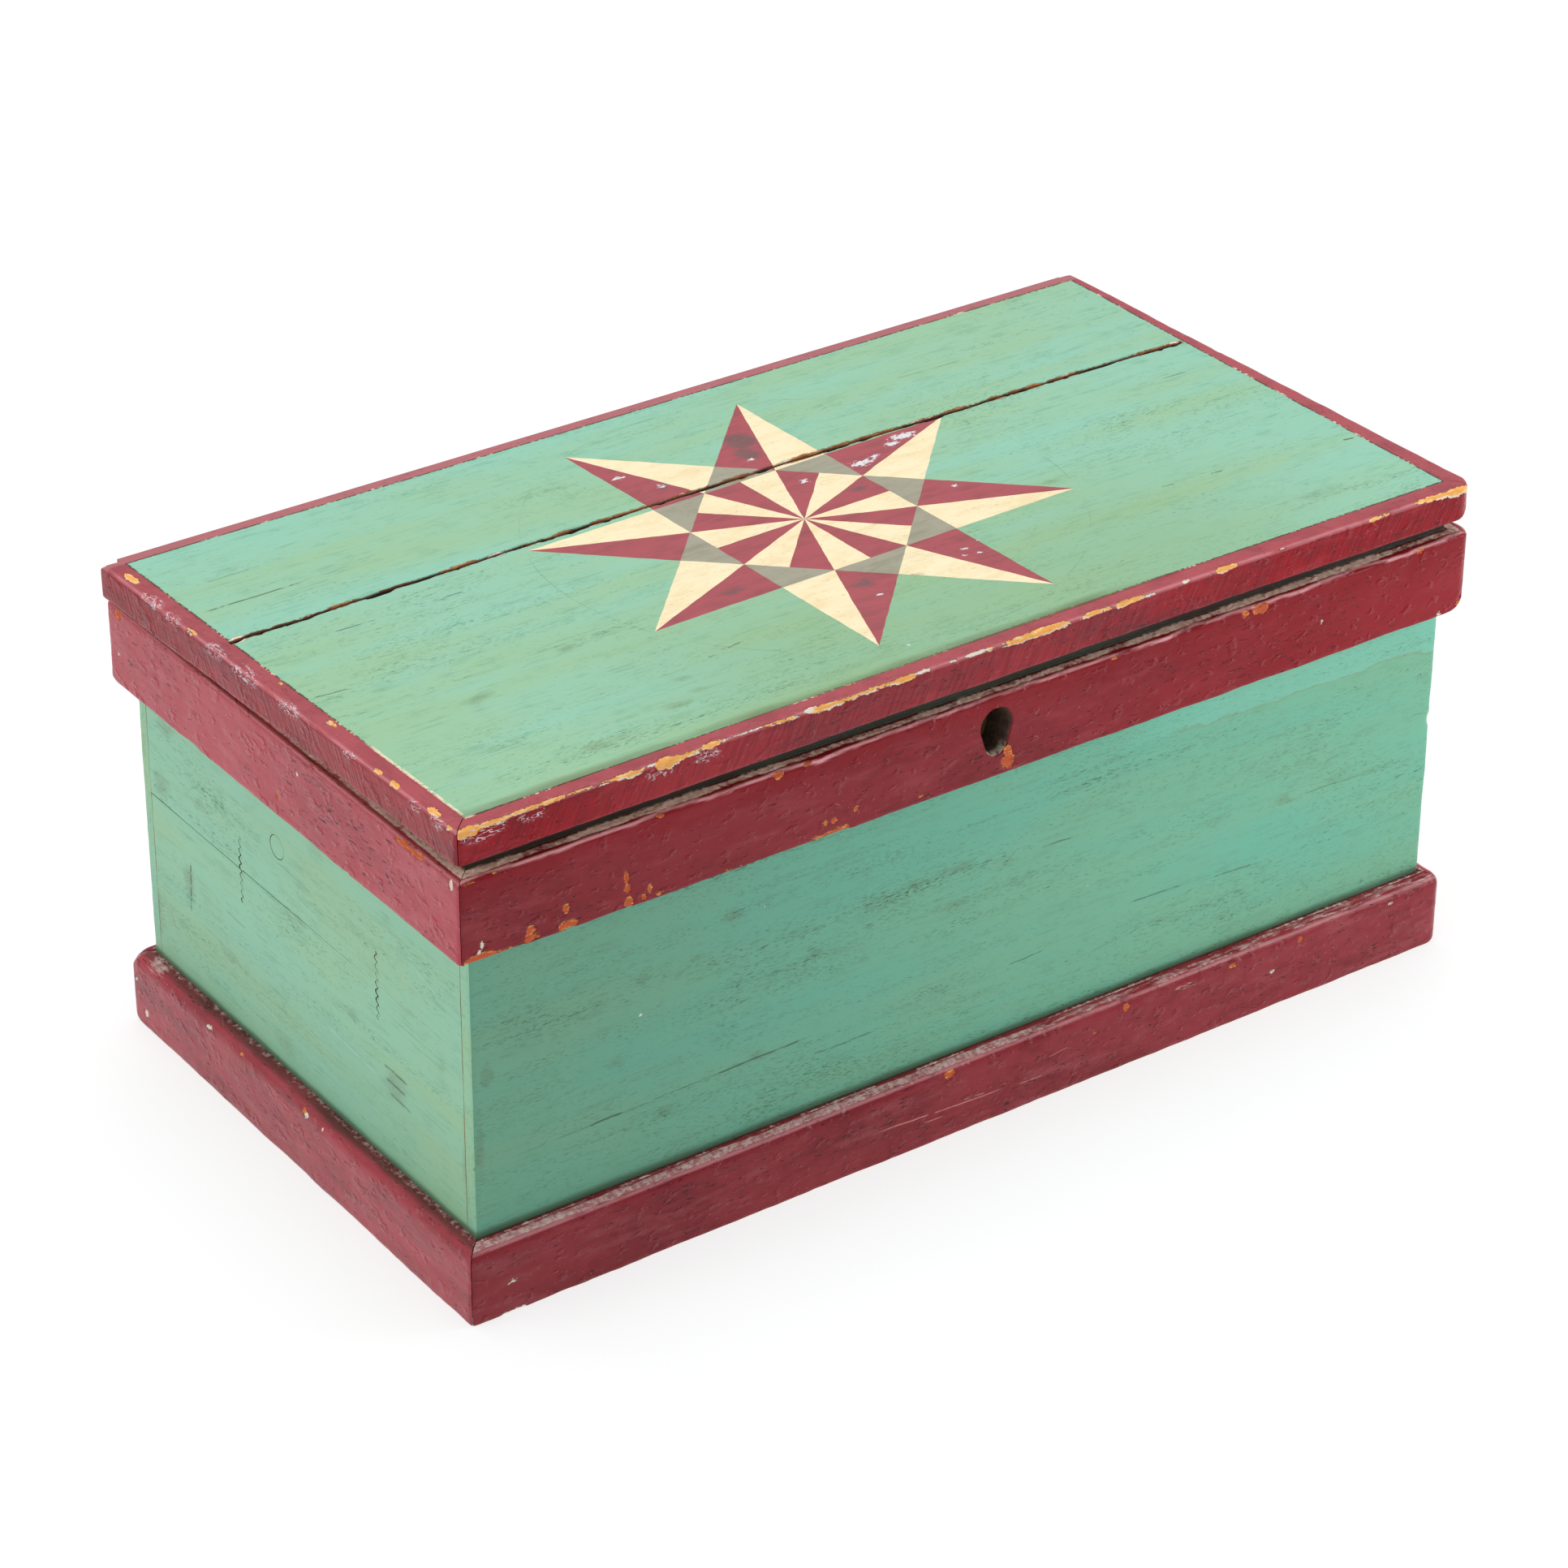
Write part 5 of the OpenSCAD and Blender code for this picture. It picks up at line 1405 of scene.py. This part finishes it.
def long_board(name, sign):
    """Front or back board, rabbeted over the end boards; sign is -1 for the front."""
    outer = WALL_FRONT if sign < 0 else WALL_BACK
    into = -sign
    inside_x = WALL_X - BOARD
    lip_y = outer + into * LIP
    inner_y = outer + into * BOARD
    plan = outline([
        (-WALL_X, outer, WALL_ROUND, FINE_STEP), (WALL_X, outer, WALL_ROUND, FINE_STEP),
        (WALL_X, lip_y, 0, EDGE_STEP), (inside_x, lip_y, 0, EDGE_STEP), (inside_x, inner_y, 0, INNER_STEP),
        (-inside_x, inner_y, 0, EDGE_STEP), (-inside_x, lip_y, 0, EDGE_STEP), (-WALL_X, lip_y, 0, FINE_STEP),
    ])
    heights = np.linspace(WALL_LOW, WALL_TOP, WALL_ROWS)
    points = swept(plan, heights, 2)
    normals = tube_normals(points)
    stretched = points * np.array([GRAIN_SHARE, 1, 1])
    rough = 0.1 * layered_noise(stretched, 9.0, 50 + sign) + 0.12 * layered_noise(points, 60.0, 60 + sign)
    corner = soft_step(np.abs(points[..., 0]), WALL_X - 3, WALL_X)
    rough += corner * 0.18 * layered_noise(points, 14.0, 64 + sign)
    rough -= corner * (points[..., 0] > 0) * soft_step(np.abs(points[..., 2] - NOTCH_Z), 4.0, 1.0) * 0.9
    outside = soft_step(np.abs(points[..., 1] - outer), 2.0, 0.5)
    points = points + normals * (rough * outside)[..., None]
    return tube_mesh(name, points)


def lock_cutters():
    """Room for the lock in the inside and the top of the front board."""
    case_low, case_high = node_box("lock_case")
    plate_low, plate_high = node_box("lock_plate")
    case_low = case_low - FIT_GAP
    plate_low = plate_low - FIT_GAP
    plate_t = 1.6
    inner = FRONT_HIGH[1]
    case_far = (case_high[0] + FIT_GAP, inner + 5, WALL_TOP + 5)
    plate_far = (plate_high[0] + FIT_GAP, inner + 5, WALL_TOP + 5)
    return [
        block(case_low, case_far),
        block((plate_low[0], inner - plate_t, plate_low[2]), plate_far),
        block((plate_low[0], plate_low[1], WALL_TOP - plate_t), plate_far),
    ]


def gain_cutters():
    """Shallow gains for the box leaves of the hinges, in the top of the back board."""
    cutters = []
    for low, high in HINGE_BOXES:
        cutters.append(block((low[0] - FIT_GAP, low[1] - FIT_GAP, BAND_TOP),
                             (high[0] + FIT_GAP, WALL_BACK + 5, WALL_TOP + 5)))
    return cutters


def pick_long_board(outer):
    """Makes the choice of material on a long board: paint outside, other paints at its ends, bare inside."""
    def pick(centres, normals):
        painted = np.abs(centres[:, 1] - outer) < 1.3
        ends = (np.abs(normals[:, 0]) > 0.9) & (np.abs(centres[:, 0]) > WALL_X - 1)
        index = np.where(painted, 0, 1)
        index = np.where(ends, np.where(centres[:, 0] < 0, 2, 3), index)
        return np.where(in_keyhole(centres, normals) & (outer < 0), 4, index)
    return pick


def build_long_boards():
    """The front board with its lock's room and keyhole, and the back board with its hinge gains."""
    hole = keyhole_cutter([(WALL_FRONT - 5, 0.0), (WALL_FRONT + 8, 0.0)])
    front = cut(long_board("front_board", -1), lock_cutters() + [hole])
    coats = [front_green, pine, left_green, right_green, shaded_hole_wood]
    finish_piece("front_board", front, "box", coats,
                 wall_wear("front", FRONT_STAINS, FRONT_FLECKS), "x", pick_long_board(WALL_FRONT))
    back = cut(long_board("back_board", 1), gain_cutters())
    finish_piece("back_board", back, "box", [back_green, pine, left_green, right_green],
                 wall_wear("back"), "x", pick_long_board(WALL_BACK))


FASTENER_HALF = 16.5
FASTENER_WAVES = 8
FASTENER_SWING = 0.9
FASTENER_T = 0.8
FASTENER_DEPTH = 12.0
FASTENER_Y = (MIDDLE_Y + 49.0, MIDDLE_Y - 62.0)
JOINT_Z = (JOINT_LOW + JOINT_HIGH) / 2


def ribbon(middle_y, gap):
    """Outline of a corrugated ribbon across the end joint in (y, z), with an uneven gap on one side."""
    steps = 128
    near = []
    far = []
    for k in range(steps + 1):
        share = k / steps
        turn = 2 * math.pi * FASTENER_WAVES * share
        y = middle_y + FASTENER_SWING * math.sin(turn)
        z = JOINT_Z - FASTENER_HALF + 2 * FASTENER_HALF * share
        slope_y = FASTENER_SWING * math.cos(turn) * 2 * math.pi * FASTENER_WAVES
        slope_z = 2 * FASTENER_HALF
        long = math.hypot(slope_y, slope_z)
        uneven = 0.5 + 0.5 * math.sin(9.0 * share + middle_y)
        side_y = slope_z / long * FASTENER_T / 2
        side_z = -slope_y / long * FASTENER_T / 2
        near.append((y - side_y - gap * 0.3, z - side_z))
        far.append((y + side_y + gap * (0.4 + uneven), z + side_z))
    return near + far[::-1]


PLUG_LOW, PLUG_HIGH = node_box("left_end_plug")
PLUG_Y = (PLUG_LOW[1] + PLUG_HIGH[1]) / 2
PLUG_Z = (PLUG_LOW[2] + PLUG_HIGH[2]) / 2
PLUG_R = (PLUG_HIGH[1] - PLUG_LOW[1]) / 2


def fill_joint(points, outer, lower):
    """Closes the joint of an end's boards towards the front, where paint fills it, in place."""
    if lower:
        closing = soft_step(points[..., 1], MIDDLE_Y + 45, MIDDLE_Y - 20) * (JOINT_HIGH - JOINT_LOW - 0.06)
        points[..., 2] += closing * soft_step(points[..., 2], JOINT_LOW - 1.2, JOINT_LOW)
    filled = soft_step(points[..., 1], MIDDLE_Y + 30, MIDDLE_Y - 10) * (np.abs(points[..., 0] - outer) < 0.4)
    filled = filled * soft_step(np.abs(points[..., 2] - JOINT_Z), 1.0, 0.7)
    points[..., 0] += filled * (outer - points[..., 0])


def end_board(name, sign, low_z, high_z, coat):
    """One board of an end; sign is -1 on the left."""
    outer = sign * WALL_X
    inner = sign * (WALL_X - BOARD)
    rim = 0 if high_z > JOINT_HIGH + 1 else JOINT_ROUND
    foot = JOINT_ROUND if low_z > WALL_LOW + 1 else 0
    profile = outline([(inner, low_z, 0, FINE_STEP), (outer, low_z, foot, FINE_STEP),
                       (outer, high_z, rim, EDGE_STEP), (inner, high_z, 0, INNER_STEP)])
    stations = np.linspace(END_LOW[1], END_HIGH[1], END_ROWS)
    points = swept(profile, stations, 1)
    normals = tube_normals(points)
    stretched = points * np.array([1, GRAIN_SHARE, 1])
    rough = 0.1 * layered_noise(stretched, 9.0, 70 + sign) + 0.1 * layered_noise(points, 55.0, 80 + sign)
    outside = soft_step(np.abs(points[..., 0] - outer), 2.0, 0.5)
    points = points + normals * (rough * outside)[..., None]
    points[..., 2] = np.minimum(points[..., 2], WALL_TOP)
    fill_joint(points, outer, rim > 0)
    mesh = tube_mesh(name, points)
    depths = sorted((outer - sign * FASTENER_DEPTH, outer + sign * 2))
    cutters = [bar_x(ribbon(y, 0.5), *depths) for y in FASTENER_Y]
    if name == "left_end_upper_board":
        cutters.append(bar_x(round_points(PLUG_Y, PLUG_Z, PLUG_R + 0.22), outer - 2, outer + 10))
    mesh = cut(mesh, cutters)
    stains = LEFT_STAINS if sign < 0 else ()

    def pick(centres, normals):
        index = np.where(sign * centres[:, 0] < WALL_X - 0.7, 1, 0)
        beside = np.abs(normals[:, 0]) < 0.5
        joint = np.abs(centres[:, 2] - JOINT_Z) < FASTENER_HALF + 1
        slot = np.min([np.abs(centres[:, 1] - y) for y in FASTENER_Y], axis=0) < FASTENER_SWING + 2
        plug = np.hypot(centres[:, 1] - PLUG_Y, centres[:, 2] - PLUG_Z) < PLUG_R + 1
        across = (np.abs(centres[:, 2] - JOINT_Z) < 1) & (sign * centres[:, 0] < WALL_X - 0.5)
        return np.where(beside & (joint & slot | plug | across), 2, index)

    coats = [coat, pine, shaded_hole_wood]
    finish_piece(name, mesh, "box", coats, wall_wear("end", stains), "y", pick)


def end_fasteners(side, sign, coat):
    """The two corrugated fasteners across the joint of an end, painted over on top."""
    name = f"{side}_end_corrugated_fasteners"
    shape = bmesh.new()
    top = sign * (WALL_X - 0.08)
    for y in FASTENER_Y:
        shape.from_mesh(bar_x(ribbon(y, 0.0), *sorted((sign * (WALL_X - FASTENER_DEPTH), top))))
    mesh = bpy.data.meshes.new(name)
    shape.to_mesh(mesh)
    shape.free()

    def pick(centres, normals):
        return sign * normals[:, 0] > 0.9

    finish_piece(name, mesh, "box", [iron, coat], wall_wear("end"), "y", pick)


def end_plug():
    """The round wooden plug in the left end, painted over with the wall."""
    stations = [(0.35, 0), (0.7, 0), (0.9, 0.02), (0.97, 0.06), (1.0, 0.25), (1.0, 5.0), (1.0, 10.0)]
    around = 72
    points = np.empty((len(stations), around, 3))
    for index, (share, deep) in enumerate(stations):
        for k, (y, z) in enumerate(round_points(PLUG_Y, PLUG_Z, PLUG_R * share, around)):
            points[index, k] = (-WALL_X + deep, y, z)
    mesh = tube_mesh("left_end_plug", points)
    finish_piece("left_end_plug", mesh, "box", [left_green], wall_wear("end"), "y")


build_long_boards()
for side, sign, coat in (("left", -1, left_green), ("right", 1, right_green)):
    end_board(f"{side}_end_lower_board", sign, WALL_LOW, JOINT_LOW, coat)
    end_board(f"{side}_end_upper_board", sign, JOINT_HIGH, WALL_TOP, coat)
    end_fasteners(side, sign, coat)
end_plug()


# Bottom boards

def bottom_board(name):
    """One of the two bare boards of the bottom."""
    low, high = node_box(name)
    profile = outline([(low[1], low[2], 0.4, 6.0), (high[1], low[2], 0.4, 4.0), (high[1], high[2], 0.4, 6.0),
                       (low[1], high[2], 0.4, 4.0)])
    mesh = tube_mesh(name, swept(profile, np.linspace(low[0], high[0], BOTTOM_ROWS), 0))
    finish_piece(name, mesh, "box", [pine], lambda spots: {}, "x")


bottom_board("bottom_front_board")
bottom_board("bottom_back_board")


# Lid boards

CRACK_SHIFT = -0.63
CRACK_SLANT = 1.22
CRACK_BEND = 2.9


def crack_stray(x):
    """How far the crack between the lid boards strays from its straight middle."""
    share = x / PANEL_X
    return CRACK_SHIFT + CRACK_SLANT * share + CRACK_BEND * (1 - share ** 2)


def lid_board(name, from_y, to_y, crack_at_back):
    """One of the two boards of the lid, with a ragged edge at the crack between them."""
    edge = 0.7
    rounds = (0, edge) if crack_at_back else (edge, 0)
    profile = outline([
        (from_y, PANEL_UNDER, 0, 9.0), (to_y, PANEL_UNDER, 0, 1.6),
        (to_y, LID_TOP, rounds[1], 1.2), (from_y, LID_TOP, rounds[0], 1.6),
    ])
    points = swept(profile, np.linspace(-PANEL_X, PANEL_X, LID_ROWS), 0)
    crack = to_y if crack_at_back else from_y
    near = soft_step(np.abs(points[..., 1] - crack), 30.0, 0.0)
    close = soft_step(np.abs(points[..., 1] - crack), 2.5, 0.0)
    x = points[..., 0]
    line = edge_line(x, 1.0 if crack_at_back else 9.0)
    ragged = 0.55 * layered_noise(line, 9.0, 91 + crack_at_back, 4)
    points[..., 1] += near * crack_stray(x) + close * ragged
    top = soft_step(points[..., 2], LID_TOP - 1.5, LID_TOP - 0.5)
    stretched = points * np.array([0.1, 1, 1])
    uneven = 0.07 * layered_noise(stretched, 8.0, 95) + 0.12 * layered_noise(points, 70.0, 96)
    points[..., 2] += top * uneven
    dents = soft_step(layered_noise(line, 6.0, 97 + crack_at_back), 0.25, 0.6) * close
    points[..., 2] -= 0.5 * top * dents
    return tube_mesh(name, points)


def lid_wear(points):
    """Chips along the crack, the dirt by the front border, stains and flecks."""
    x, y = points.T[:2]
    middle = CRACK_MIDDLE + crack_stray(x)
    off = np.abs(y - middle)
    line = edge_line(x, np.sign(y - middle))
    wood = 1.0 + 0.5 * soft_step(x, -120, 0) - off + 0.6 * layered_noise(line, 7.0, 121, 4)
    bits = np.where(y > middle, 0.5 * soft_step(x, -80, 0), 0.0)
    primer = 0.3 + bits - off + 1.2 * layered_noise(line, 8.0, 131, 4)
    filler = 2.4 * (1 - np.hypot((x + 249.5) / 4.5, (y - middle) / 2.6))
    grime_and_shade = soft_step(y - MIDDLE_Y, -124, -134) * soft_step(x, 130, 60) * 0.6
    return {"wood": np.maximum(wood, -NO_CHIP) + NO_CHIP,
            "primer": np.maximum(np.maximum(primer, filler), -NO_CHIP) + NO_CHIP,
            "grime_and_shade": grime_and_shade, "stain": spots_field(x, y - MIDDLE_Y, LID_STAINS),
            "fleck": spots_field(x, y - MIDDLE_Y, LID_FLECKS)}


def strike_cutters():
    """Recess for the lock's strike plate in the lid's underside."""
    low, high = node_box("lock_strike", shut=True)
    gap = 0.2
    deep = 1.8
    return [block((low[0] - gap, low[1] - gap, PANEL_UNDER - 3),
                  (high[0] + gap, high[1] + gap, PANEL_UNDER + deep))]


def pick_lid(centres, normals):
    """Paint above, bare pine below and dark wood in the crack."""
    middle = CRACK_MIDDLE + crack_stray(centres[:, 0])
    near = np.abs(centres[:, 1] - middle) < 4
    crack = near & (np.abs(normals[:, 1]) > 0.6) & (centres[:, 2] < LID_TOP - 0.5)
    return np.where(crack, 2, normals[:, 2] < -0.3)


for name, from_y, to_y, cutters in (("lid_front_board", PANEL_FRONT, CRACK_FRONT, strike_cutters()),
                                    ("lid_back_board", CRACK_BACK, LID_BACK, barrel_cutters())):
    lid_mesh = cut(lid_board(name, from_y, to_y, to_y == CRACK_FRONT), cutters)
    coats = [lid_paint, pine, shaded_hole_wood]
    finish_piece(name, lid_mesh, "lid", coats, lid_wear, "x", pick_lid, True)


# Metal nodes keep their solids and get old metal finishes
metal_slots = {"iron": iron, "brass": brass}
for node in frame["nodes"].values():
    if not node.hide_render:
        for index, material in enumerate(node.data.materials):
            node.data.materials[index] = metal_slots.get(material.name.split(".")[0], iron)


# Stage, light and camera

FLOOR_GREYS = ((0.33, 0.335, 0.34), (0.35, 0.35, 0.35))
FLOOR_GLOW = 0.68
FLOOR_HALF = 5.0
FLOOR_DROP = 0.0002


def floor_material():
    """A pale studio floor that glows a little, as it is lit from below."""
    finish = Finish("studio_floor")
    place = finish.object_place()
    tone = finish.noise(place, (0.001, 0.001, 0.001), 2.0)
    colour = finish.mix(tone, *FLOOR_GREYS)
    return finish.set(colour, 0.9, Specular_IOR_Level=0.0, Emission_Color=(1, 1, 1, 1),
                      Emission_Strength=FLOOR_GLOW)


def build_floor():
    """A flat floor just under the box."""
    shape = bmesh.new()
    corners = [(-FLOOR_HALF, -FLOOR_HALF), (FLOOR_HALF, -FLOOR_HALF), (FLOOR_HALF, FLOOR_HALF),
               (-FLOOR_HALF, FLOOR_HALF)]
    shape.faces.new([shape.verts.new((x, y, -FLOOR_DROP)) for x, y in corners])
    mesh = bpy.data.meshes.new("studio_floor")
    shape.to_mesh(mesh)
    shape.free()
    mesh.materials.append(floor_material())
    floor = bpy.data.objects.new("studio_floor", mesh)
    bpy.context.scene.collection.objects.link(floor)


def soft_light(name, place, target, size, power):
    """A square soft box aimed at a point."""
    data = bpy.data.lights.new(name, "AREA")
    data.shape = "SQUARE"
    data.size = size
    data.energy = power
    light = bpy.data.objects.new(name, data)
    light.location = place
    light.rotation_euler = (Vector(target) - Vector(place)).to_track_quat("-Z", "Y").to_euler()
    bpy.context.scene.collection.objects.link(light)


def build_lights():
    """A broad box overhead, one to the left, a small near one at the front right, and a dim surround."""
    world = bpy.data.worlds.new("studio")
    world.use_nodes = True
    world.node_tree.nodes["Background"].inputs["Color"].default_value = (1, 1, 1, 1)
    world.node_tree.nodes["Background"].inputs["Strength"].default_value = 0.5
    bpy.context.scene.world = world
    soft_light("top_box", (0.0, 0.3, 2.6), (0, 0, 0), 2.0, 44)
    soft_light("left_box", (-2.2, 0.4, 1.1), (-0.2, 0, 0.1), 1.2, 10)
    soft_light("front_right_box", (0.8, -0.6, 0.4), (0.24, -0.14, 0.12), 0.45, 2.8)
    bpy.context.scene.view_settings.view_transform = "Standard"


# The camera's place, heading from +Y towards +X, tilt below level and roll, as the photograph was taken
CAMERA_PLACE = (-1114.73, -1559.34, 1221.84)
CAMERA_HEADING = 35.437
CAMERA_TILT = 30.326
CAMERA_ROLL = 0.406
CAMERA_LENS = 114.55
CAMERA_SENSOR = 36.0


def build_camera():
    """The photograph's camera."""
    data = bpy.data.cameras.new("camera")
    data.sensor_fit = "HORIZONTAL"
    data.sensor_width = CAMERA_SENSOR
    data.lens = CAMERA_LENS
    data.clip_end = 50
    camera = bpy.data.objects.new("camera", data)
    heading = Matrix.Rotation(math.radians(-CAMERA_HEADING), 4, "Z")
    tilt = Matrix.Rotation(math.radians(90 - CAMERA_TILT), 4, "X")
    roll = Matrix.Rotation(math.radians(CAMERA_ROLL), 4, "Z")
    place = Matrix.Translation(Vector(CAMERA_PLACE) * MM)
    camera.matrix_world = place @ heading @ tilt @ roll
    bpy.context.scene.collection.objects.link(camera)
    bpy.context.scene.camera = camera


build_floor()
build_lights()
build_camera()
